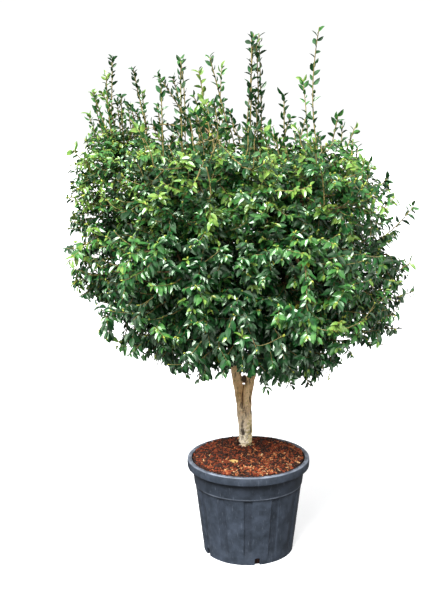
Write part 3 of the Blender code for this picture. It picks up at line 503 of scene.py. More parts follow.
def bark_finish():
    """Camellia bark: smooth, dull, fawn, dark brown down its furrows, paler and mossy at the foot,
    with painted shade in the cleft and on the cut-off branch.
    """
    material, tree, shader, place = new_finish("camellia_bark", 0.78, 1.5)
    # the furrow attribute is low down the furrows and on the scar, and in the painted shade of the
    # cleft and the cut-off branch
    depth = add_node(tree, "ShaderNodeAttribute", attribute_name="furrow").outputs["Fac"]
    drawn_out = add_node(tree, "ShaderNodeMapping", {"Vector": place, "Scale": (1, 1, 0.35)})
    # patches of 25 mm, drawn out upwards
    patches = add_node(tree, "ShaderNodeTexNoise",
                       {"Vector": drawn_out.outputs["Vector"], "Scale": 40.0, "Detail": 6.0,
                        "Roughness": 0.62}).outputs["Fac"]
    warm = add_node(tree, "ShaderNodeMapRange",
                    {"Value": patches, "From Min": 0.38, "From Max": 0.60}).outputs["Result"]
    fawn = add_node(tree, "ShaderNodeMix",
                    {0: warm, 6: colour("ae7f4a"), 7: colour("f4d2a0")}, data_type="RGBA")
    height = add_node(tree, "ShaderNodeSeparateXYZ", {"Vector": place})
    # the stems' bark is younger and more orange, and painted lighter upwards against the crown's
    # shadow
    high = add_node(tree, "ShaderNodeMapRange",
                    {"Value": height.outputs["Z"], "From Min": 0.80, "From Max": 0.96,
                     "To Max": 0.75})
    younger_and_painted_light = add_node(tree, "ShaderNodeMix",
                       {0: high.outputs["Result"], 6: fawn.outputs[2], 7: colour("f8d29a")},
                       data_type="RGBA")
    foot = add_node(tree, "ShaderNodeMapRange",
                    {"Value": height.outputs["Z"], "From Min": 0.82, "From Max": 0.62})
    pale = add_node(tree, "ShaderNodeMix",
                    {0: foot.outputs["Result"], 6: younger_and_painted_light.outputs[2], 7: colour("fdf0d4")},
                    data_type="RGBA")
    # lichen in spots of 12 mm, on the right of the foot
    spots = add_node(tree, "ShaderNodeTexNoise",
                     {"Vector": place, "Scale": 85.0, "Detail": 5.0}).outputs["Fac"]
    right = add_node(tree, "ShaderNodeMapRange",
                     {"Value": height.outputs["X"], "From Min": -0.030, "From Max": 0.010,
                      "To Max": 0.25})
    low = add_node(tree, "ShaderNodeMath",
                   {0: right.outputs["Result"], 1: foot.outputs["Result"]}, operation="MULTIPLY")
    mossy = add_node(tree, "ShaderNodeMath", {0: spots, 1: low.outputs["Value"]}, operation="ADD")
    moss = add_node(tree, "ShaderNodeMapRange",
                    {"Value": mossy.outputs["Value"], "From Min": 0.58, "From Max": 0.72,
                     "To Max": 0.75})
    green = add_node(tree, "ShaderNodeMix",
                     {0: moss.outputs["Result"], 6: pale.outputs[2], 7: colour("c4b268")},
                     data_type="RGBA")
    # brown specks of 9 mm where the outer bark has stayed
    specks = add_node(tree, "ShaderNodeTexNoise",
                      {"Vector": place, "Scale": 110.0, "Detail": 2.0}).outputs["Fac"]
    brown = add_node(tree, "ShaderNodeMapRange",
                     {"Value": specks, "From Min": 0.42, "From Max": 0.30, "To Max": 0.70})
    specked = add_node(tree, "ShaderNodeMix",
                       {0: brown.outputs["Result"], 6: green.outputs[2], 7: colour("7a5c40")},
                       data_type="RGBA")
    # darker down the furrows and on the scar, and painted shade in the cleft between the stems and on
    # the cut-off branch
    dark = add_node(tree, "ShaderNodeMapRange",
                    {"Value": depth, "From Min": 0.42, "From Max": 0.10, "To Max": 0.92})
    shaded = add_node(tree, "ShaderNodeMix",
                      {0: dark.outputs["Result"], 6: specked.outputs[2], 7: colour("2e2117")},
                      data_type="RGBA")
    tree.links.new(shaded.outputs[2], shader.inputs["Base Color"])
    relief = add_node(tree, "ShaderNodeBump",
                      {"Height": patches, "Strength": 1.0, "Distance": 0.0025})
    tree.links.new(relief.outputs["Normal"], shader.inputs["Normal"])
    return material


def pot_finish():
    """Injection-moulded black polyethylene, greyed by dust: satin, with pale scuffs.

    It is painted darker as shade under its rim, over its band, under the band's step and in its
    grooves, and painted paler as a highlight along its top edges and the band's foot, patchy like
    rubbed wear.
    """
    material, tree, shader, place = new_finish("moulded_polyethylene", 0.46, 1.5)
    # clouds of dust of 60 mm
    dust = add_node(tree, "ShaderNodeTexNoise",
                    {"Vector": place, "Scale": 16.0, "Detail": 8.0, "Roughness": 0.65}).outputs["Fac"]
    share = add_node(tree, "ShaderNodeMapRange",
                     {"Value": dust, "From Min": 0.35, "From Max": 0.72}).outputs["Result"]
    plastic = add_node(tree, "ShaderNodeMix",
                       {0: share, 6: colour("282f38"), 7: colour("434c5a")}, data_type="RGBA")
    # painted shade: darker under the rim, over the band, under the band's step and in the grooves
    recess = add_node(tree, "ShaderNodeAttribute", attribute_name="recess").outputs["Fac"]
    deep = add_node(tree, "ShaderNodeMix",
                    {0: recess, 6: plastic.outputs[2], 7: colour("161a21")}, data_type="RGBA")
    # painted highlight along the rim's top edges and the band's foot, patchy like rubbed wear
    worn = add_node(tree, "ShaderNodeAttribute", attribute_name="worn").outputs["Fac"]
    painted_edge_highlight = add_node(tree, "ShaderNodeMix",
                     {0: worn, 6: deep.outputs[2], 7: colour("98a2b2")}, data_type="RGBA")
    # upright rub marks, 6 mm wide and 50 mm long
    drawn_out = add_node(tree, "ShaderNodeMapping", {"Vector": place, "Scale": (1, 1, 0.12)})
    rubs = add_node(tree, "ShaderNodeTexNoise",
                    {"Vector": drawn_out.outputs["Vector"], "Scale": 160.0, "Detail": 3.0})
    marks = add_node(tree, "ShaderNodeMapRange",
                     {"Value": rubs.outputs["Fac"], "From Min": 0.62, "From Max": 0.80,
                      "To Max": 0.45})
    scuffed = add_node(tree, "ShaderNodeMix",
                       {0: marks.outputs["Result"], 6: painted_edge_highlight.outputs[2], 7: colour("7f8792")},
                       data_type="RGBA")
    tree.links.new(scuffed.outputs[2], shader.inputs["Base Color"])
    rough = add_node(tree, "ShaderNodeMapRange", {"Value": dust, "To Min": 0.36, "To Max": 0.60})
    tree.links.new(rough.outputs["Result"], shader.inputs["Roughness"])
    # the mould's eggshell grain is 0.5 mm, drawn at 2 mm so that it shows
    grain = add_node(tree, "ShaderNodeTexNoise", {"Vector": place, "Scale": 500.0})
    relief = add_node(tree, "ShaderNodeBump",
                      {"Height": grain.outputs["Fac"], "Strength": 1.0, "Distance": 0.0002})
    tree.links.new(relief.outputs["Normal"], shader.inputs["Normal"])
    return material


def new_mesh(name, vertices, faces, material=None, flat=False):
    mesh = bpy.data.meshes.new(name)
    mesh.from_pydata(vertices, [], faces, shade_flat=flat)
    if material:
        mesh.materials.append(material)
    return mesh


def new_piece(name, mesh):
    piece = bpy.data.objects.new(name, mesh)
    bpy.context.scene.collection.objects.link(piece)
    return piece


def place_piece(piece, slot, *nodes):
    """Lets a finished piece ride with the plant, in place of the solids it stands for."""
    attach(piece, "root")
    if nodes:
        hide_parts(*nodes)


def evaluated_mesh(thing):
    """The mesh that an object's modifiers make; the modifiers are removed."""
    made = bpy.data.meshes.new_from_object(
        thing.evaluated_get(bpy.context.evaluated_depsgraph_get()))
    thing.modifiers.clear()
    return made


def profile(points, distance):
    """Height of a line of (distance, height) points at a distance."""
    return float(np.interp(distance, *zip(*points)))


def smooth_step(value, low, high):
    """0 at low, 1 at high, with a soft start and end."""
    share = max(0, min(1, (value - low) / (high - low)))
    return share * share * (3 - 2 * share)


# Camera, light and floor

# Soft lamps far off: name, strength, spread, tilt from overhead and turn, in degrees
SUNS = (
    ("key", 7.2, 34, 39, -30),
    ("fill", 0.85, 60, 64, 28),
)


def make_camera():
    """The photograph's view: from 5 m off, above mid height, tilted a little down."""
    lens = bpy.data.cameras.new("camera")
    lens.sensor_width = 36
    lens.lens = 58.5
    lens.shift_x = -0.048
    lens.shift_y = -0.012
    camera = bpy.data.objects.new("camera", lens)
    camera.location = (0, -5.0, 2.38)
    camera.rotation_euler = (math.radians(90 - 10.5), 0, 0)
    bpy.context.scene.collection.objects.link(camera)
    bpy.context.scene.camera = camera


def make_light():
    """A white studio: a bright soft ceiling, a white band at the horizon and a broad key."""
    world = bpy.data.worlds.new("studio")
    world.use_nodes = True
    tree = world.node_tree
    way = add_node(tree, "ShaderNodeTexCoord").outputs["Generated"]
    up = add_node(tree, "ShaderNodeSeparateXYZ", {"Vector": way}).outputs["Z"]
    backdrop = add_node(tree, "ShaderNodeMapRange",
                        {"Value": up, "From Min": 0.45, "From Max": 0.25, "To Max": 1.06})
    ceiling = add_node(tree, "ShaderNodeMapRange",
                       {"Value": up, "From Min": 0.25, "From Max": 0.70, "To Max": 0.60})
    below = add_node(tree, "ShaderNodeMapRange",
                     {"Value": up, "From Min": -0.10, "From Max": -0.06, "To Min": 0.12})
    both = add_node(tree, "ShaderNodeMath",
                    {0: backdrop.outputs["Result"], 1: ceiling.outputs["Result"]},
                    operation="ADD")
    all_round = add_node(tree, "ShaderNodeMath",
                         {0: both.outputs["Value"], 1: below.outputs["Result"]},
                         operation="MULTIPLY")
    background = tree.nodes["Background"]
    background.inputs["Color"].default_value = colour("ffffff")
    tree.links.new(all_round.outputs["Value"], background.inputs["Strength"])
    bpy.context.scene.world = world
    for name, energy, spread, tilt, turn in SUNS:
        light = bpy.data.lights.new(name, "SUN")
        light.energy = energy
        light.angle = math.radians(spread)
        lamp = bpy.data.objects.new(name, light)
        lamp.rotation_euler = (math.radians(tilt), 0, math.radians(turn))
        bpy.context.scene.collection.objects.link(lamp)
    bpy.context.scene.view_settings.view_transform = "Standard"


def make_floor():
    """A lit table of opal acrylic: white all over, with a faint shadow. It throws no light up."""
    material = mottled_finish("opal_acrylic", ("f0f1f2", "f6f6f7"), 0.3, 0.002, 0.00005, 0.6,
                              1.49, Emission_Color=colour("ffffff"), Emission_Strength=0.45)
    size = 60
    corners = [(x * size, y * size, 0) for x, y in ((-1, -1), (1, -1), (1, 1), (-1, 1))]
    floor = new_piece("floor", new_mesh("floor", corners, [(0, 1, 2, 3)], material))
    floor.visible_diffuse = False
    floor.visible_glossy = False
    floor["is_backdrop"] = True


# The crown's spaces and limbs, by the rule of the solids

def at_height(line, height):
    """Point and radius of a stem at a height."""
    for low, high in zip(line, line[1:]):
        if low[2] <= height <= high[2]:
            share = (height - low[2]) / (high[2] - low[2])
            mixed = [a + (b - a) * share for a, b in zip(low, high)]
            return Vector(mixed[:3]), mixed[3]
    return Vector(line[-1][:3]), line[-1][3]


def axis_x(height):
    """Where the crown's leaning axis is at a height."""
    return CROWN_X + CROWN_LEAN * (height - CROWN_FOOT)


def ring_masses():
    """Every mass of foliage with its centre and half sizes, ring by ring."""
    masses = []
    for ring in RINGS:
        for k in range(ring.count):
            angle = math.radians(ring.first) + k * math.tau / ring.count
            x = ring.distance * math.cos(angle)
            centre = Vector((axis_x(ring.height) + x, ring.distance * math.sin(angle),
                             ring.height + CROWN_RISE * x))
            masses.append(SimpleNamespace(
                name="%s_%d" % (ring.name, k + 1), ring=ring, order=k,
                centre=centre, half=Vector((ring.width, ring.width, ring.tall))))
    return masses


def half_reach(mass, way):
    """How far the mass's egg reaches from its centre towards a flat wall that faces this way."""
    return math.sqrt(sum((h * w) ** 2 for h, w in zip(mass.half, way)))


def egg_reach(mass, way):
    """Length from the centre to the egg's skin along this way."""
    return 1 / math.sqrt(sum((w / h) ** 2 for h, w in zip(mass.half, way)))


def part_spaces(masses):
    """Sets flat walls between each two masses, in proportion to their sizes."""
    for mass in masses:
        mass.walls = []
        for other in masses:
            if other is mass:
                continue
            between = other.centre - mass.centre
            way = between.copy()
            if abs(way.z) < SAME_HEIGHT:
                way.z = 0
            way.normalize()
            share = half_reach(mass, way) / (half_reach(mass, way) + half_reach(other, way))
            limit = mass.centre.dot(way) + between.dot(way) * share - WALL_CLEAR
            mass.walls.append((way, limit))


def space_reach(mass, way, swell=0):
    """Length from the centre to the edge of the mass's own space along this way."""
    reach = egg_reach(mass, way) * (1 + swell)
    for wall, limit in mass.walls:
        towards = way.dot(wall)
        if towards > 0:
            reach = min(reach, (limit - mass.centre.dot(wall)) / towards)
    return reach


def bough_stem(mass):
    """The stem that carries a mass: each has the masses on its own side."""
    angle = (mass.ring.first + 360 * mass.order / mass.ring.count) % 360
    return "stem_left" if 89 < angle < 269 else "stem_right"


def bough_line(mass, root_height):
    """A bough from the middle of its stem to where it enters its mass."""
    stem = STEM_LINES[bough_stem(mass)]
    root, stem_radius = at_height(stem, root_height)
    facing, _ = at_height(stem, mass.centre.z - ENTRY_DROP)
    inward = (facing - mass.centre).normalized()
    reach = min(egg_reach(mass, inward) * GATE_SHARE, space_reach(mass, inward) - WALL_CLEAR)
    tip = mass.centre + inward * reach
    bend = root.lerp(tip, 0.5) - UP * BOUGH_SAG * (tip - root).length
    first = min(mass.ring.bough, BOUGH_STOUT * stem_radius)
    last = BOUGH_TAPER * first
    line = []
    for k in range(BOUGH_POINTS):
        t = k / (BOUGH_POINTS - 1)
        point = root * (1 - t) ** 2 + bend * 2 * t * (1 - t) + tip * t * t
        line.append((*point, first + (last - first) * t))
    return line


def plan_boughs(masses):
    """Sets each mass's bough, or the stem tip that carries a top mass."""
    taken = {}
    for mass in masses:
        stem = "stem_left" if mass.name == "top_1" else "stem_right"
        if mass.ring.root is None:
            mass.bough = None
            line = STEM_LINES[stem]
        else:
            stem = bough_stem(mass)
            lowest, step = mass.ring.root
            count = taken.get((stem, mass.ring.name), 0)
            taken[(stem, mass.ring.name)] = count + 1
            line = mass.bough = bough_line(mass, lowest + step * count)
        before, tip = Vector(line[-2][:3]), Vector(line[-1][:3])
        mass.gate_way = (tip - before).normalized()
        mass.gate = tip + mass.gate_way * GAP
        mass.gate_radius = line[-1][3]


def mass_stem(mass):
    """The line of a mass's own stem: in at its gate, through its centre and on."""
    through = mass.centre - mass.gate
    first = mass.gate + mass.gate_way * min(ENTRY_LENGTH, through.length * ENTRY_SHARE)
    beyond = (through.normalized() + UP * STEM_LIFT).normalized()
    last = mass.centre + beyond * space_reach(mass, beyond) * STEM_BEYOND
    return [mass.gate, first, mass.centre.copy(), last]


def even_way(k):
    """The k-th of a row of ways that spread evenly on all sides."""
    height = 1 - 2 * ((0.5 + SPREAD_UP * k) % 1)
    turn = math.tau * ((0.5 + SPREAD_ROUND * k) % 1)
    flat = math.sqrt(1 - height * height)
    return Vector((flat * math.cos(turn), flat * math.sin(turn), height))


def level_side(way):
    """A level direction across a way, also where the way is upright."""
    side = way.cross(UP)
    return side.normalized() if side.length > NEARLY_UPRIGHT else Vector((1, 0, 0))


def limb_lengths(masses):
    """Straight lengths of every limb, as arrays of starts, ends and radii."""
    lines = [TRUNK_LINE, *STEM_LINES.values()] + [m.bough for m in masses if m.bough]
    pairs = [(one, two) for line in lines for one, two in zip(line, line[1:])]
    return (np.array([one[:3] for one, _ in pairs]), np.array([two[:3] for _, two in pairs]),
            np.array([max(one[3], two[3]) for one, two in pairs]))


def skin_gap(points, limbs):
    """Distance from each point to the skin of the nearest limb."""
    starts, ends, radii = limbs
    along = ends - starts
    offset = points[:, None, :] - starts[None]
    share = np.clip((offset * along).sum(axis=2) / (along * along).sum(axis=1), 0, 1)
    away = np.linalg.norm(offset - share[..., None] * along, axis=2)
    return (away - radii).min(axis=1)


def in_box(points, clear):
    """Which points lie inside the plant's box by a clearance."""
    low, high = (np.array(corner) for corner in CAD_BOX)
    return ((points > low + clear) & (points < high - clear)).all(axis=1)


# Growth of twigs

class Growth:
    """The twigs of one mass: each place knows the place it grew from, and its way there."""

    def __init__(self, mass, limbs):
        self.mass = mass
        self.limbs = limbs
        self.chance = random.Random("%s %d" % (mass.name, SEED))
        self.places = [mass.gate.copy()]
        self.ways = [mass.gate_way.copy()]
        self.before = [-1]
        self.twigs = []

    def fork_place(self, target, least):
        """The place to branch from: near, not closer than the least, without turning back."""
        towards = np.array(target) - np.array(self.places)
        away = np.linalg.norm(towards, axis=1) + 1e-9
        turn = (towards * np.array(self.ways)).sum(axis=1) / away
        cost = away * (1 + TURN_COST * (1 - turn)) + (away < least)
        return int(cost.argmin())

    def add_line(self, points, before):
        """Adds the places of a twig and gives their row, from the one it grew from."""
        row = [before]
        for point in points:
            self.ways.append((point - self.places[row[-1]]).normalized())
            self.places.append(point)
            self.before.append(row[-1])
            row.append(len(self.places) - 1)
        return row

    def add_twig(self, points, before, habit, shoot=False):
        """Adds a leafy twig unless it would touch a limb or leave the plant's box."""
        if (skin_gap(np.array(points), self.limbs).min() > LIMB_CLEAR
                and in_box(np.array(points), BOX_CLEAR if shoot else BUD_CLEAR).all()):
            row = self.add_line(points, before)
            self.twigs.append(SimpleNamespace(row=row, habit=habit, shoot=shoot))

    def reach_for(self, target, least, habit):
        """Grows a twig from the best place to a target."""
        before = self.fork_place(target, least)
        self.add_twig(arched(self.places[before], self.ways[before], target, habit.lift),
                      before, habit)


def arched(start, start_way, end, lift):
    """Points of a twig that leaves along its parent's way and turns up to its tip."""
    length = (end - start).length
    straight = (end - start).normalized()
    leaving = start + (straight + start_way * FOLLOW).normalized() * length / 3
    arriving = end - (straight + UP * lift).normalized() * length / 3
    count = max(3, round(length / PLACE_STEP) + 1)
    return interpolate_bezier(start, leaving, arriving, end, count)[1:]


def space_volume(mass):
    """Size of a mass's own space, from how far it reaches on all sides."""
    count = 200
    cubes = sum(space_reach(mass, even_way(k)) ** 3 for k in range(count))
    return math.tau * 2 / 3 * cubes / count


def heart_share(point):
    """0 in the middle of the crown and 1 at its outside."""
    return Vector([o / h for o, h in zip(point - HEART, HEART_HALF)]).length


def outside_hull(point):
    """Whether a point lies outside the crown's outline."""
    return sum(abs(o / h) ** bulge
               for o, h, bulge in zip(point - HEART, HEART_HALF, HULL_BULGE)) > 1


def in_hollow(point):
    """Whether a point lies in a hollow of the crown's outline."""
    return any(sum(((p - m) / h) ** 2 for p, m, h in zip(point, middle, half)) < 1
               for middle, half in HOLLOWS)


def lowest_leaf(aside, x, y):
    """Lowest height of a leaf at a distance from the crown's axis, and its place in front."""
    front = np.where(np.asarray(y) < FRONT_DEPTH, np.interp(x, *zip(*FRONT_SKIRT)), 0)
    return np.maximum(np.interp(aside, *zip(*SKIRT)), front)


def highest_leaf(x, y):
    """Greatest height of a leaf that isn't on a long shoot, by its place from left to right."""
    return np.interp(x / (1 + CREST_FAN * y), *zip(*CREST))


def habit_of(mass):
    """How a mass grows: by its own name where that is listed, or else as its ring."""
    return HABITS.get(mass.name, HABITS[mass.ring.name])


def twig_targets(mass, chance):
    """Where the fine twigs of a mass end: in clumps, few in the crown's middle, inner ones first."""
    targets = []
    for k in range(round(habit_of(mass).twigs * space_volume(mass))):
        way = even_way(k)
        depth = chance.uniform(TWIG_DEPTH[0] ** 2, TWIG_DEPTH[1] ** 2) ** 0.5
        reach = space_reach(mass, way, SWELL * (1 - way.z * way.z) ** 2) * depth
        target = mass.centre + way * reach
        few = heart_share(target) < HEART_SHARE and chance.random() > HEART_FEW
        fuller = (FLANK_FULLER * smooth_step(abs(target.x - HEART.x), *FLANK)
                  + BACK_FULLER * smooth_step(target.y, *BACK))
        if min(limit - target.dot(wall) for wall, limit in mass.walls) < SEAM:
            fuller += SEAM_FULLER
        gap = noise.noise(target / CLUMP) < CLUMP_CUT - fuller
        aside = math.hypot(target.x - axis_x(target.z), target.y)
        low = target.z < lowest_leaf(aside, target.x, target.y)
        high = target.z > highest_leaf(target.x, target.y)
        outside = outside_hull(target) or in_hollow(target)
        if not (few or gap or low or high or outside or aside < BARE_RADIUS):
            targets.append((reach, target))
    return [target for _, target in sorted(targets, key=lambda pair: pair[0])]


def grow_shoot(growth, habit, foot, bend, tip):
    """A long shoot: out of the mass to its foot, then on by its bend to its tip."""
    foot, bend, tip = Vector(foot), Vector(bend), Vector(tip)
    before = growth.fork_place(foot, TWIG_LEAST)
    start = growth.places[before]
    lower = arched(start, growth.ways[before], foot, 1.0)
    count = max(4, round((tip - foot).length / PLACE_STEP))
    middle = bend * 2 - (foot + tip) / 2
    upper = [foot * (1 - t) ** 2 + middle * 2 * t * (1 - t) + tip * t * t
             for t in ((k + 1) / count for k in range(count))]
    growth.add_twig(lower + upper, before, habit, shoot=True)


def shoot_habit(mass, foot, tip):
    """How a long shoot grows: to the side, or upright and close-leaved on the upper left."""
    if tip[2] - foot[2] < SIDEWAYS * math.hypot(tip[0] - foot[0], tip[1] - foot[1]):
        return HABITS["side shoot"]
    return HABITS["bushy shoot" if mass.name == "upper_1" else "slender shoot"]


def short_shoots(mass, chance):
    """Feet, bends and tips of short upright shoots on top of an upper mass."""
    for k in range(SHORT_SHOOTS[mass.ring.name]):
        way = even_way(k + 2)
        way.z = abs(way.z)
        foot = mass.centre + way * space_reach(mass, way) * 0.88
        lean = Vector((way.x, way.y, 0)) * 0.3 + Vector((-0.2, 0, 0))
        rise = chance.uniform(*SHORT_SHOOT_RISE)
        tip = foot + (UP + lean) * rise
        room = profile(SHOOT_TOPS, tip.x / (1 + CREST_FAN * tip.y)) - foot.z
        rise = min(rise, room)
        if rise > LEAST_RISE:
            tip = foot + (UP + lean) * rise
            yield foot, foot.lerp(tip, 0.5) - lean * rise * 0.2, tip


def grow(mass, limbs):
    """Grows a mass: its stem, its branches, its fine twigs and its long shoots."""
    growth = Growth(mass, limbs)
    chance = growth.chance
    habit = habit_of(mass)
    before = 0
    stem = mass_stem(mass)
    for start, end in zip(stem, stem[1:]):
        before = growth.add_line(arched(start, growth.ways[before], end, 0), before)[-1]
    growth.stem_places = before + 1
    for k in range(BRANCHES):
        way = even_way(k)
        target = mass.centre + way * space_reach(mass, way) * chance.uniform(*BRANCH_DEPTH)
        growth.reach_for(target, 0, habit)
    for target in twig_targets(mass, chance):
        growth.reach_for(target, TWIG_LEAST, habit)
    for name, foot, bend, tip in SHOOTS:
        if name == mass.name:
            grow_shoot(growth, shoot_habit(mass, foot, tip), foot, bend, tip)
    if mass.ring.name in SHORT_SHOOTS:
        for line in short_shoots(mass, chance):
            grow_shoot(growth, shoot_habit(mass, line[0], line[2]), *line)
    return growth


# Leaves

def leaf_roots(growth, twig):
    """Walks a twig from its tip inwards and gives leaf roots, the way there and the run."""
    points = [growth.places[i] for i in twig.row][::-1]
    near, far = (gap * (1 if twig.shoot else twig.habit.size) for gap in twig.habit.step)
    run, due = 0.0, 0.001
    for outer, inner in zip(points, points[1:]):
        length = (outer - inner).length
        way = (outer - inner).normalized()
        while due <= run + length and due < twig.habit.leafy:
            yield outer.lerp(inner, (due - run) / length), way, due
            due += near + (far - near) * min(1, due / LEAF_STEP_RUN)
        run += length


def leaves_of(growth):
    """Root, way, facing, size and twig of every leaf of a mass."""
    chance = growth.chance
    leaves = []
    for twig in growth.twigs:
        habit = twig.habit
        fresh = chance.random() + habit.fresh
        turn = chance.uniform(0, math.tau)
        for root, way, run in leaf_roots(growth, twig):
            young = run < TIP_RUN and not twig.shoot
            fresher = TIP_FRESH if young or (twig.shoot and run < SHOOT_TIP_RUN) else 0
            if abs(way.z) > UPRIGHT or young or twig.shoot:
                turn += GOLDEN_TURN
            else:
                turn = (0 if math.cos(turn) < 0 else math.pi) + chance.uniform(-0.7, 0.7)
            side = Matrix.Rotation(turn, 3, way) @ level_side(way)
            spread = math.radians(chance.uniform(*habit.spread)) * (0.7 if young else 1)
            along = way * math.cos(spread) + side * math.sin(spread)
            along = (along - UP * chance.uniform(*habit.droop)).normalized()
            outward = Vector((root.x - axis_x(root.z), root.y, 0)).normalized()
            jitter = Vector([chance.uniform(-1, 1) for _ in range(3)])
            if twig.shoot:
                facing = way * 0.3 + UP * 0.2 + outward * habit.outward + jitter * 1.3
            else:
                facing = UP + outward * habit.outward + jitter * FACING_JITTER
            size = habit.size * chance.uniform(0.72, 1.16) * (TIP_SIZE if young else 1)
            shade = min(0.98, max(0, fresh + fresher))
            if chance.random() < YELLOW_SHARE:
                shade = 1
            leaves.append(SimpleNamespace(root=root, along=along, facing=facing, size=size,
                                          free=twig.shoot, shade=shade))
    return leaves


def leaf_turn(leaf):
    """Turn of a leaf whose X runs to its tip and whose Z comes out of its upper face."""
    face = leaf.facing - leaf.along * leaf.along.dot(leaf.facing)
    if face.length < NEARLY_UPRIGHT:
        face = leaf.along.orthogonal()
    face.normalize()
    return Matrix((leaf.along, face.cross(leaf.along), face)).transposed().to_euler()


def keep_leaves(mass, leaves, limbs):
    """Drops a leaf that leaves its mass's space or the plant's box, or touches a limb."""
    roots = np.array([leaf.root for leaf in leaves])
    tips = roots + np.array([leaf.along * LEAF_LENGTH * leaf.size for leaf in leaves])
    free = np.array([leaf.free for leaf in leaves])
    good = np.ones(len(leaves), bool)
    for points in (roots, tips):
        for way, limit in mass.walls:
            good &= (points @ np.array(way) < limit + WALL_SLACK) | free
        offset = (points - np.array(mass.centre)) / np.array(mass.half * EGG_SLACK)
        good &= ((offset ** 2).sum(axis=1) < 1) | free
        good &= in_box(points, BOX_CLEAR)
        x, y, z = points.T
        good &= (z < highest_leaf(x, y) + LEAF_LENGTH / 2) | free
        good &= z > lowest_leaf(np.hypot(x - axis_x(z), y), x, y) - LEAF_LENGTH / 2
    for share in (0.0, 0.33, 0.67, 1.0):
        good &= skin_gap(roots + (tips - roots) * share, limbs) > LIMB_CLEAR
    return [leaf for leaf, ok in zip(leaves, good) if ok]


def leaf_shape(name):
    """One leaf, 1 long and 1 wide: a pointed oval folded along its midrib, its tip turned down."""
    stations = ((0.0, 0.0), (0.16, 0.62), (0.44, 1.0), (0.76, 0.70), (1.0, 0.0))
    fold, curl = 0.10, 0.26
    vertices = []
    for x, width in stations:
        drop = -curl * x * x
        sides = (0,) if width == 0 else (-0.5, 0, 0.5)
        vertices += [(x, side * width, drop + fold * width * abs(side) * 2) for side in sides]
    faces = [(0, 2, 1), (0, 3, 2)]
    for first in (1, 4):
        faces += [(first, first + 1, first + 4, first + 3),
                  (first + 1, first + 2, first + 5, first + 4)]
    faces += [(7, 8, 10), (8, 9, 10)]
    mesh = new_mesh(name, vertices, faces)
    midrib = {0, 2, 5, 8, 10}
    sharp = mesh.attributes.new("sharp_edge", "BOOLEAN", "EDGE")
    sharp.data.foreach_set("value", [set(edge.vertices) <= midrib for edge in mesh.edges])
    return bpy.data.objects.new(name, mesh)


def bud_shape(name):
    """One flower bud, 1 long and 1 wide: a fat spindle of four sides."""
    sides = 4
    rings = ((0.30, 0.50), (0.74, 0.38))
    vertices = [(0, 0, 0)]
    for x, radius in rings:
        vertices += [(x, radius * math.cos(math.tau * s / sides),
                      radius * math.sin(math.tau * s / sides)) for s in range(sides)]
    vertices.append((1, 0, 0))
    tip = len(vertices) - 1
    faces = []
    for s in range(sides):
        near, far = s, (s + 1) % sides
        faces.append((0, 1 + far, 1 + near))
        for k in range(len(rings) - 1):
            low, high = 1 + k * sides, 1 + (k + 1) * sides
            faces.append((low + near, low + far, high + far, high + near))
        last = 1 + (len(rings) - 1) * sides
        faces.append((last + near, last + far, tip))
    return bpy.data.objects.new(name, new_mesh(name, vertices, faces))


def scatter_tree(name):
    """Geometry Nodes: puts a shape on every point, turned and sized by the point's own values."""
    tree = bpy.data.node_groups.new(name, "GeometryNodeTree")
    face = tree.interface
    for label, kind in (("Geometry", "Geometry"), ("Shape", "Object"), ("Length", "Float"),
                        ("Width", "Float"), ("Thickness", "Float"), ("Material", "Material")):
        face.new_socket(label, in_out="INPUT", socket_type="NodeSocket" + kind)
    face.new_socket("Geometry", in_out="OUTPUT", socket_type="NodeSocketGeometry")
    start = add_node(tree, "NodeGroupInput")
    shape = add_node(tree, "GeometryNodeObjectInfo", {"Object": start.outputs["Shape"]})
    turn = add_node(tree, "GeometryNodeInputNamedAttribute", {"Name": "turn"},
                    data_type="FLOAT_VECTOR")
    size = add_node(tree, "GeometryNodeInputNamedAttribute", {"Name": "size"}, data_type="FLOAT")
    rotation = add_node(tree, "FunctionNodeEulerToRotation", {"Euler": turn.outputs["Attribute"]})
    plain = add_node(tree, "ShaderNodeCombineXYZ",
                     {"X": start.outputs["Length"], "Y": start.outputs["Width"],
                      "Z": start.outputs["Thickness"]})
    scale = add_node(tree, "ShaderNodeVectorMath",
                     {0: plain.outputs["Vector"], "Scale": size.outputs["Attribute"]},
                     operation="SCALE")
    put = add_node(tree, "GeometryNodeInstanceOnPoints",
                   {"Points": start.outputs["Geometry"], "Instance": shape.outputs["Geometry"],
                    "Rotation": rotation.outputs["Rotation"], "Scale": scale.outputs["Vector"]})
    real = add_node(tree, "GeometryNodeRealizeInstances", {"Geometry": put.outputs["Instances"]})
    dressed = add_node(tree, "GeometryNodeSetMaterial",
                       {"Geometry": real.outputs["Geometry"],
                        "Material": start.outputs["Material"]})
    add_node(tree, "NodeGroupOutput", {"Geometry": dressed.outputs["Geometry"]})
    return tree


def scatter(name, tree, shape, spots, sizes, material):
    """A plain mesh with a shape at every spot, a point with a turn and a size."""
    points, turns, scales = zip(*spots)
    guide = new_piece(name, new_mesh(name + "_points", points, []))
    turn = guide.data.attributes.new("turn", "FLOAT_VECTOR", "POINT")
    turn.data.foreach_set("vector", [value for euler in turns for value in euler])
    size = guide.data.attributes.new("size", "FLOAT", "POINT")
    size.data.foreach_set("value", scales)
    modifier = guide.modifiers.new("scatter", "NODES")
    modifier.node_group = tree
    given = dict(zip(("Shape", "Length", "Width", "Thickness", "Material"),
                     (shape, *sizes, material)))
    for item in tree.interface.items_tree:
        if item.in_out == "INPUT" and item.name in given:
            modifier[item.identifier] = given[item.name]
    made = evaluated_mesh(guide)
    for old in list(made.attributes):
        if old.name in ("turn", "size"):
            made.attributes.remove(old)
    made.name = name
    guide.data = made
    return guide


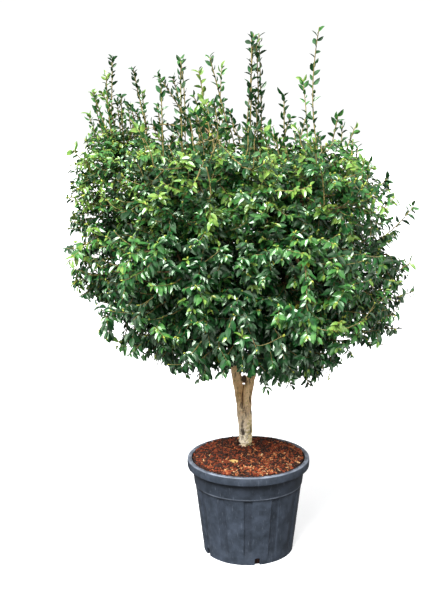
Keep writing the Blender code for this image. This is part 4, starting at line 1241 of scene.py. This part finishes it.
# Kinds of leaf: name, upper end of its share by how fresh the spray is, dark and light tone
LEAF_KINDS = (
    ("deep", 0.34, "03260d", "0b3e16"),
    ("dark", 0.66, "0a3815", "1c5a24"),
    ("mid", 0.95, "205c22", "50883e"),
    ("fresh", 0.99, "50802a", "88a648"),
    ("yellow", 2.0, "a6ae38", "d2cc50"),
)


def leaf_finish(name, tones):
    """Leathery camellia leaf: its waxed skin lays a soft gloss over deep green.

    The wax is thin, so most of the gloss takes on the leaf's green.
    """
    return mottled_finish("camellia_leaf_" + name, tones, 0.022, 0.004, 0.0002, 0.34, 1.5,
                          Specular_IOR_Level=1.0, Specular_Tint=colour("d4f4ca"),
                          Coat_Weight=0.7, Coat_Roughness=0.24)


def make_leaves(leaves):
    """All leaves, in pieces by their kind of green, dealt out by twig."""
    shape = leaf_shape("leaf_shape")
    tree = scatter_tree("leaves_on_points")
    lowest = 0
    for name, highest, *tones in LEAF_KINDS:
        material = leaf_finish(name, tones)
        chosen = [leaf for leaf in leaves if lowest <= leaf.shade < highest]
        lowest = highest
        for part, first in enumerate(range(0, len(chosen), LEAVES_PER_PIECE)):
            spots = [(leaf.root, leaf_turn(leaf), leaf.size)
                     for leaf in chosen[first:first + LEAVES_PER_PIECE]]
            piece = scatter("leaves_%s_%d" % (name, part + 1), tree, shape, spots,
                            (LEAF_LENGTH, LEAF_WIDTH, LEAF_LENGTH), material)
            place_piece(piece, "camellia_leaves")


def make_buds(growths):
    """Fat yellow-green flower buds at the tips of the twigs, and in strings behind some tips."""
    chance = random.Random(SEED)
    spots = []
    for growth in growths:
        for twig in growth.twigs:
            tip = growth.places[twig.row[-1]]
            if twig.shoot or chance.random() > BUD_SHARE or heart_share(tip) < BUD_HEART:
                continue
            for _, (root, way, _) in zip(range(chance.choice(BUD_STRING)),
                                         leaf_roots(growth, twig)):
                lean = Vector([chance.uniform(-0.7, 0.7) for _ in range(3)])
                turn = (way + lean).to_track_quat("X", "Z").to_euler()
                spots.append((root, turn, chance.uniform(0.7, 1.15)))
    material = mottled_finish("camellia_bud_scales", ("8ea23a", "c2c45c"), 0.006, 0.003, 0.0003,
                              0.45, 1.45)
    piece = scatter("flower_buds", scatter_tree("buds_on_points"), bud_shape("bud_shape"), spots,
                    (BUD_LENGTH, BUD_WIDTH, BUD_WIDTH), material)
    place_piece(piece, "camellia_leaves")


# Twigs

def tube(points, radii, sides):
    """Vertices and faces of a closed tube along points."""
    vertices, faces = [], []
    last = len(points) - 1
    for k, (point, radius) in enumerate(zip(points, radii)):
        turn = (points[min(k + 1, last)] - points[max(k - 1, 0)]).to_track_quat("Z", "Y")
        for s in range(sides):
            angle = math.tau * s / sides
            vertices.append(point + turn @ Vector((math.cos(angle), math.sin(angle), 0)) * radius)
    for k in range(last):
        for s in range(sides):
            a, b = k * sides + s, k * sides + (s + 1) % sides
            faces.append((a, b, b + sides, a + sides))
    faces.append(tuple(range(sides))[::-1])
    faces.append(tuple(range(last * sides, (last + 1) * sides)))
    return vertices, faces


class Joined:
    """Vertices and faces of many tubes, gathered for one piece."""

    def __init__(self):
        self.vertices, self.faces = [], []

    def add(self, made):
        first = len(self.vertices)
        self.vertices += made[0]
        self.faces += [tuple(v + first for v in face) for face in made[1]]


def twig_radii(growth):
    """Radius at each place: thicker where the wood carries more tips."""
    load = [0] * len(growth.places)
    for twig in growth.twigs:
        load[twig.row[-1]] += 1
    for index in range(len(load) - 1, 0, -1):
        load[growth.before[index]] += load[index]
    growth.load = load
    return [TWIG_TIP_RADIUS * max(1, n) ** TWIG_GROWTH for n in load]


def add_twigs(growth, young, old):
    """Gathers a mass's twigs as young or old wood, and its stem as old wood."""
    radii = twig_radii(growth)
    for twig in growth.twigs:
        row = twig.row
        points = [growth.places[i] for i in row]
        thick = [radii[i] for i in row]
        thick[0] = thick[1]
        if twig.shoot:
            thick = [max(r, SHOOT_RADIUS * (1 - 0.3 * k / len(row))) for k, r in enumerate(thick)]
        wood = old if growth.load[row[1]] > YOUNG_TIPS else young
        wood.add(tube(points, thick, SHOOT_SIDES if twig.shoot else TWIG_SIDES))
    count = growth.stem_places
    gate = growth.mass.gate_radius
    thick = [max(radii[k], gate * (1 - 0.6 * k / count)) for k in range(count)]
    thick = [min(r, gate) for r in thick]
    old.add(tube(growth.places[:count], thick, 2 * TWIG_SIDES))


def make_crown(masses):
    """Grows every mass and makes its twigs, leaves and buds in place of its solid."""
    limbs = limb_lengths(masses)
    young_wood = mottled_finish("young_camellia_wood", ("6c6034", "9e9056"), 0.012, 0.004,
                                0.0003, 0.55, 1.5)
    old_wood = mottled_finish("old_camellia_wood", ("5a4630", "9c8054"), 0.015, 0.004,
                              0.0006, 0.75, 1.5)
    old = Joined()
    growths, leaves = [], []
    for ring in RINGS:
        young = Joined()
        ring_masses_here = [mass for mass in masses if mass.ring is ring]
        for mass in ring_masses_here:
            growth = grow(mass, limbs)
            add_twigs(growth, young, old)
            leaves += keep_leaves(mass, leaves_of(growth), limbs)
            growths.append(growth)
        piece = new_piece("twigs_" + ring.name, new_mesh("twigs_" + ring.name, young.vertices,
                                                         young.faces, young_wood))
        place_piece(piece, "camellia_bark", *("foliage_" + m.name for m in ring_masses_here))
    piece = new_piece("branches", new_mesh("branches", old.vertices, old.faces, old_wood))
    place_piece(piece, "camellia_bark")
    make_leaves(leaves)
    make_buds(growths)
    print("leaves", len(leaves), "branch faces", len(old.faces))


# Bark

def fine_line(line, step):
    """A limb's line in short steps, smoothed through its points."""
    points = [Vector(p[:3]) for p in line]
    radii = [p[3] for p in line]
    fine = []
    for k in range(len(points) - 1):
        a, b = points[k], points[k + 1]
        before, after = points[max(k - 1, 0)], points[min(k + 2, len(points) - 1)]
        count = max(1, round((b - a).length / step))
        for i in range(count):
            t = i / count
            place = (2 * a + (b - before) * t + (2 * before - 5 * a + 4 * b - after) * t * t
                     + (3 * a - before - 3 * b + after) * t ** 3) * 0.5
            fine.append((place, radii[k] + (radii[k + 1] - radii[k]) * t))
    fine.append((points[-1], radii[-1]))
    return [p for p, _ in fine], [r for _, r in fine]


def furrow_height(point):
    """The bark's long furrows at a point, about -0.5 to 0.5."""
    return noise.fractal(Vector((point.x / FURROW_WIDTH, point.y / FURROW_WIDTH,
                                 point.z / FURROW_LENGTH)), 0.8, 2.1, 4)


def scar_share(point):
    """1 in the middle of the knot scar on the trunk's front, 0 outside it: narrow at its head."""
    offset = point - SCAR
    narrow = 1 - 0.65 * smooth_step(offset.z, -SCAR_SIZE.z, SCAR_SIZE.z)
    away = math.hypot(offset.x / (SCAR_SIZE.x * narrow), offset.z / SCAR_SIZE.z)
    return smooth_step(1 - away, 0, 0.5) if offset.y < SCAR_SIZE.y else 0


def painted_shade_share(point):
    """Painted shade: 1 in the cleft between the stems and on the cut-off branch, 0 elsewhere."""
    heights, places = zip(*CLEFT)
    aside = abs(point.x - float(np.interp(point.z, heights, places)))
    cleft = 1 - smooth_step(aside, CLEFT_WIDTH / 2, CLEFT_WIDTH)
    cleft *= smooth_step(point.z, heights[0] - 0.01, heights[0] + 0.005)
    cleft *= 1 - smooth_step(point.z, heights[-1], heights[-1] + 0.01)
    away = Vector([o / s for o, s in zip(point - STUB_MIDDLE, STUB_SIZE)]).length
    return max(cleft, 1 - smooth_step(away, 0.75, 1.0))


def carve_bark(mesh):
    """Raises lumps and sinks furrows, grain and the scar, and keeps how deep each place lies, with
    painted shade in the cleft and on the cut-off branch.
    """
    depths_and_painted_shade = []
    moved = []
    for vertex in mesh.vertices:
        point = vertex.co
        furrow = furrow_height(point)
        scar = scar_share(point)
        lump = noise.noise(point / LUMP_WIDTH)
        grain = noise.noise(point / GRAIN_WIDTH)
        rise = FURROW * furrow + LUMP * lump + GRAIN * grain - SCAR_DEPTH * scar
        moved.append(point + vertex.normal * rise)
        # painted shade: darker in the cleft between the stems and on the cut-off branch
        depths_and_painted_shade.append(0.5 + 0.5 * furrow - 0.6 * scar - 0.8 * painted_shade_share(point))
    for vertex, place in zip(mesh.vertices, moved):
        vertex.co = place
    kept = mesh.attributes.new("furrow", "FLOAT", "POINT")
    kept.data.foreach_set("value", depths_and_painted_shade)


def make_trunk(bark):
    """The trunk and its two stems as one skin, grown together at the fork."""
    joined = Joined()
    for name, line in BARK_LINES.items():
        above = [point for point in STEM_LINES.get(name, ()) if point[2] > FORK_TOP]
        joined.add(tube(*fine_line([*line, *above], 0.008), 24))
    piece = new_piece("bark_trunk_and_stems",
                      new_mesh("trunk_lines", joined.vertices, joined.faces))
    merge = piece.modifiers.new("merge", "REMESH")
    merge.mode = "VOXEL"
    merge.voxel_size = BARK_VOXEL
    soften = piece.modifiers.new("soften", "SMOOTH")
    soften.iterations = 3
    mesh = evaluated_mesh(piece)
    mesh.shade_smooth()
    carve_bark(mesh)
    mesh.materials.clear()
    mesh.materials.append(bark)
    piece.data = mesh
    place_piece(piece, "camellia_bark", "trunk", "stem_left", "stem_right")


def make_boughs(masses, bark):
    joined = Joined()
    boughs = [mass for mass in masses if mass.bough]
    for mass in boughs:
        joined.add(tube(*fine_line(mass.bough, 0.012), 16))
    mesh = new_mesh("bark_boughs", joined.vertices, joined.faces, bark)
    carve_bark(mesh)
    place_piece(new_piece("bark_boughs", mesh), "camellia_bark",
                *("bough_" + mass.name for mass in boughs))


# Pot

def wall_radius(height):
    """Outer radius of the pot's tapering wall at a height."""
    return FOOT_RADIUS + (WALL_TOP_RADIUS - FOOT_RADIUS) * height / (POT_HEIGHT - RIM_DEPTH)


def arc(middle, radius, first, last):
    """Points of a rounded edge, from one angle in degrees to another."""
    for k in range(ARC_STEPS + 1):
        angle = math.radians(first + (last - first) * k / ARC_STEPS)
        yield middle[0] + radius * math.cos(angle), middle[1] + radius * math.sin(angle)


def pot_section():
    """Radius and height from the middle of the floor, up the inside, and down the outside."""
    under_rim = POT_HEIGHT - RIM_DEPTH
    inner_top = wall_radius(under_rim) - WALL - BAND_STEP
    section = [(0, FLOOR), (wall_radius(FLOOR) - WALL - BAND_STEP, FLOOR), (inner_top, under_rim),
               (MOUTH_RADIUS, POT_HEIGHT - LIP_DEPTH)]
    section += arc((MOUTH_RADIUS + RIM_ROUND, POT_HEIGHT - RIM_ROUND), RIM_ROUND, 180, 90)
    section += arc((RIM_RADIUS - RIM_ROUND - RIM_BULGE, POT_HEIGHT - RIM_ROUND), RIM_ROUND, 90, 0)
    section.append((RIM_RADIUS, POT_HEIGHT - RIM_DEPTH / 2))
    section += arc((RIM_RADIUS - RIM_ROUND - RIM_BULGE, under_rim + RIM_ROUND), RIM_ROUND, 0, -90)
    section.append((wall_radius(under_rim) + 0.001, under_rim))
    section.append((wall_radius(under_rim), under_rim - 0.002))
    band_top, band_foot = under_rim - 0.002, BAND_FOOT + 0.002
    rows = round((band_top - band_foot) / WALL_ROW)
    for k in range(1, rows + 1):
        height = band_top + (band_foot - band_top) * k / rows
        section.append((wall_radius(height), height))
    section += [(wall_radius(BAND_FOOT) - 0.0006, BAND_FOOT),
                (wall_radius(BAND_FOOT) - BAND_STEP, BAND_FOOT - BAND_STEP)]
    rows = round((BAND_FOOT - BAND_STEP - FOOT_CHAMFER) / WALL_ROW)
    for k in range(1, rows + 1):
        height = (BAND_FOOT - BAND_STEP) + (FOOT_CHAMFER - BAND_FOOT + BAND_STEP) * k / rows
        section.append((wall_radius(height) - BAND_STEP, height))
    section += [(FOOT_RADIUS - FOOT_CHAMFER, 0), (0, 0)]
    return section


def groove_depth(angle, height):
    """Depth of the moulded grooves at a place on the wall."""
    pitch = math.tau / GROOVES
    aside = abs((angle - GROOVE_FRONT + pitch / 2) % pitch - pitch / 2) * wall_radius(height)
    flank = smooth_step(GROOVE_WIDTH / 2 - aside, 0, GROOVE_SOFT)
    ends = (smooth_step(height, GROOVE_FOOT, GROOVE_FOOT + GROOVE_FOOT_SOFT)
            * smooth_step(GROOVE_HEAD - height, 0, GROOVE_HEAD_SOFT))
    return GROOVE_DEPTH * flank * ends


def turned_mesh(name, section, sides, shift, material):
    """A closed turned body whose points are shifted outwards or up by a rule of their place."""
    vertices, rows = [], []
    for row, (radius, height) in enumerate(section):
        if radius == 0:
            rows.append([len(vertices)] * sides)
            vertices.append((0, 0, height))
            continue
        rows.append(list(range(len(vertices), len(vertices) + sides)))
        for s in range(sides):
            angle = math.tau * s / sides
            out, up = shift(row, radius, height, angle)
            vertices.append(((radius + out) * math.cos(angle), (radius + out) * math.sin(angle),
                             height + up))
    faces = []
    for inner, outer in zip(rows, rows[1:]):
        for s in range(sides):
            t = (s + 1) % sides
            corners = dict.fromkeys((inner[s], outer[s], outer[t], inner[t]))
            faces.append(tuple(corners))
    return new_mesh(name, vertices, faces, material)


def notch_cutter():
    """Five arched cutters through the foot of the wall, as one object."""
    bm = bmesh.new()
    for k in range(NOTCHES):
        turn = Matrix.Rotation(NOTCH_FIRST + k * math.tau / NOTCHES, 4, "Z")
        place = turn @ Matrix.Translation((FOOT_RADIUS, 0, 0))
        size = Matrix.Diagonal((4 * WALL, NOTCH_WIDTH, 2 * NOTCH_HEIGHT, 1))
        made = bmesh.ops.create_cube(bm, size=1, matrix=place @ size)
        upper = [e for e in {e for v in made["verts"] for e in v.link_edges}
                 if all(v.co.z > 0 for v in e.verts)
                 and abs((turn.inverted() @ (e.verts[0].co - e.verts[1].co)).x) > WALL]
        bmesh.ops.bevel(bm, geom=upper, offset=NOTCH_ROUND, segments=4, profile=0.5,
                        affect="EDGES")
    mesh = bpy.data.meshes.new("notches")
    bm.to_mesh(mesh)
    bm.free()
    return new_piece("notches", mesh)


def mark_pot(mesh):
    """Keeps the painted shade of each place of the pot, and the painted highlight, patchy like rubbed
    wear, along its top edges and the band's foot.
    """
    under_rim = POT_HEIGHT - RIM_DEPTH
    recess, worn = [], []
    for x, y, height in (vertex.co for vertex in mesh.vertices):
        radius, angle = math.hypot(x, y), math.atan2(y, x)
        patchy = 0.5 + noise.noise(Vector((x, y, height)) / 0.045)
        on_rim = radius > RIM_RADIUS - RIM_ROUND - 2 * RIM_BULGE
        # painted shade under the rim, over the band, under the band's step and in the grooves
        below_rim = 0 if on_rim else smooth_step(height, under_rim - 0.060, under_rim - 0.002)
        below_band = (smooth_step(height, BAND_FOOT - 0.022, BAND_FOOT - BAND_STEP)
                      * (height < BAND_FOOT - 0.001))
        groove = groove_depth(angle, height) / GROOVE_DEPTH * (height < BAND_FOOT)
        band = 0.30 * (not on_rim and height > BAND_FOOT)
        recess.append(max(band, 0.80 * below_rim, 0.50 * below_band, 0.28 * groove))
        # painted highlight on the mouth's and rim's top edges and at the band's foot, patchy like
        # rubbed wear
        edge = max((height > POT_HEIGHT - RIM_ROUND / 2) * (radius < MOUTH_RADIUS + RIM_ROUND),
                   on_rim * smooth_step(height, POT_HEIGHT - RIM_ROUND, POT_HEIGHT - 0.002),
                   0.6 * (abs(height - BAND_FOOT) < 0.0022))
        worn.append(edge * (0.3 + 0.5 * patchy))
    for name, values in (("recess", recess), ("worn", worn)):
        mesh.attributes.new(name, "FLOAT", "POINT").data.foreach_set("value", values)


def make_pot():
    section = pot_section()
    ribbed = len(section) - 2

    def shift(row, radius, height, angle):
        outer = row < ribbed and radius > wall_radius(height) - WALL / 2 and height < BAND_FOOT
        return (-groove_depth(angle, height) if outer else 0), 0

    piece = new_piece("moulded_pot", turned_mesh("moulded_pot", section, POT_SIDES, shift,
                                                 pot_finish()))
    cutter = notch_cutter()
    cut = piece.modifiers.new("notches", "BOOLEAN")
    cut.operation = "DIFFERENCE"
    cut.solver = "MANIFOLD"
    cut.object = cutter
    piece.data = evaluated_mesh(piece)
    bpy.data.objects.remove(cutter)
    piece.data.shade_smooth()
    piece.data.set_sharp_from_angle(angle=SHARP_ANGLE)
    mark_pot(piece.data)
    place_piece(piece, "moulded_plastic", "pot")


# Mulch

def mound_height(x, y):
    """Top of the mulch at a place: a low mound with a heap about the trunk."""
    from_trunk = math.hypot(x - TRUNK_LINE[0][0], y - TRUNK_Y)
    return profile(MOUND, math.hypot(x, y)) + HEAP * smooth_step(HEAP_RADIUS - from_trunk, 0,
                                                                 HEAP_RADIUS / 2)


def make_bed():
    """The root ball's body with a rough top, in place of the soil."""
    count = round(BED_RADIUS / BED_ROW)
    top = [(BED_RADIUS * k / count, SOIL_TOP) for k in range(count + 1)]
    under_rim = POT_HEIGHT - RIM_DEPTH
    inner = [(wall_radius(height) - WALL - BAND_STEP - 2 * GAP, height)
             for height in (under_rim, FLOOR + GAP)]
    section = top + inner + [(0, FLOOR + GAP)]

    def shift(row, radius, height, angle):
        if row > count:
            return 0, 0
        x, y = radius * math.cos(angle), radius * math.sin(angle)
        relief = BED_RELIEF * (noise.fractal(Vector((x, y, 0)) * 90, 0.9, 2.0, 3) - 1)
        return 0, mound_height(x, y) - height + relief

    material = mottled_finish("composted_bark", ("1c0d08", "4a2415"), 0.010, 0.003, 0.002,
                              0.95, 1.5)
    mesh = turned_mesh("mulch_bed", section, BED_SIDES, shift, material)
    place_piece(new_piece("mulch_bed", mesh), "bark_mulch", "soil")


def chip_shape(name):
    """One bark chip, 1 long: a ragged splinter."""
    chance = random.Random(5)
    bm = bmesh.new()
    bmesh.ops.create_cube(bm, size=1)
    bmesh.ops.subdivide_edges(bm, edges=[e for e in bm.edges
                                         if abs(e.verts[0].co.x - e.verts[1].co.x) > 0.5], cuts=1)
    for corner in bm.verts:
        corner.co.y *= chance.uniform(0.6, 1.15)
        corner.co.z *= chance.uniform(0.6, 1.15)
        corner.co.x += chance.uniform(-0.12, 0.12)
    mesh = bpy.data.meshes.new(name)
    bm.to_mesh(mesh)
    bm.free()
    return bpy.data.objects.new(name, mesh)


# Kinds of chip: name, share, dark and light tone, (length, width, thickness)
CHIP_KINDS = (
    ("rust", 0.38, "66240f", "9c4822", (0.020, 0.0075, 0.0040)),
    ("brown", 0.40, "1e0d06", "44210d", (0.019, 0.0095, 0.0050)),
    ("orange", 0.16, "a0522a", "ce8450", (0.020, 0.0060, 0.0030)),
    ("straw", 0.06, "c0925e", "e0be8e", (0.017, 0.0050, 0.0026)),
)
CHIPS = 6000
CHIP_PATCH = 0.055          # pale and dark chips lie together in patches of this size


def make_chips():
    """Shredded bark over the bed, dealt out by kind."""
    tree = scatter_tree("chips_on_points")
    shape = chip_shape("chip_shape")
    chance = random.Random(3)
    piles = {kind[0]: [] for kind in CHIP_KINDS}
    for _ in range(CHIPS):
        radius = (BED_RADIUS - 0.006) * math.sqrt(chance.random())
        angle = chance.uniform(0, math.tau)
        x, y = radius * math.cos(angle), radius * math.sin(angle)
        if math.hypot(x - TRUNK_LINE[0][0], y - TRUNK_Y) < 0.042:
            continue
        patch = noise.noise(Vector((x, y, 0)) / CHIP_PATCH)
        warm = smooth_step(x - y + 0.5 * patch, -0.10, 0.40)
        pale = 0.25 + 2.2 * warm
        dark = max(0.2, 1.1 - 1.6 * patch)
        shares = [kind[1] * factor for kind, factor in zip(CHIP_KINDS, (1, dark, pale, pale))]
        name = chance.choices([kind[0] for kind in CHIP_KINDS], shares)[0]
        turn = (chance.uniform(-0.7, 0.7), chance.uniform(-0.6, 0.6), chance.uniform(0, math.tau))
        place = Vector((x, y, mound_height(x, y) - 0.002 + chance.uniform(-0.004, 0.004)))
        piles[name].append((place, turn, chance.uniform(0.4, 1.5)))
    for name, _, dark, light, sizes in CHIP_KINDS:
        material = mottled_finish("shredded_pine_bark_" + name, (dark, light), 0.008, 0.002,
                                  0.0008, 0.85, 1.5)
        piece = scatter("mulch_" + name, tree, shape, piles[name], sizes, material)
        place_piece(piece, "bark_mulch")


def make_fallen_leaf():
    """One dry leaf on the mulch in front of the trunk."""
    x, y = -0.102, -0.160
    place = Vector((x, y, mound_height(x, y) + 0.010))
    material = mottled_finish("dry_camellia_leaf", ("c49a4e", "e6cc8c"), 0.02, 0.004, 0.0004,
                              0.6, 1.45)
    piece = scatter("fallen_leaf", scatter_tree("leaf_on_point"), leaf_shape("fallen_leaf_shape"),
                    [(place, (0.15, 0.12, -0.35), 1.0)], (0.080, 0.035, 0.05), material)
    place_piece(piece, "camellia_leaves")


make_camera()
make_light()
make_floor()
masses = ring_masses()
part_spaces(masses)
plan_boughs(masses)
bark = bark_finish()
make_trunk(bark)
make_boughs(masses, bark)
make_crown(masses)
make_pot()
make_bed()
make_chips()
make_fallen_leaf()

VISUAL_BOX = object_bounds()
[[list(corner) for corner in box] for box in (CAD_BOX, VISUAL_BOX)]
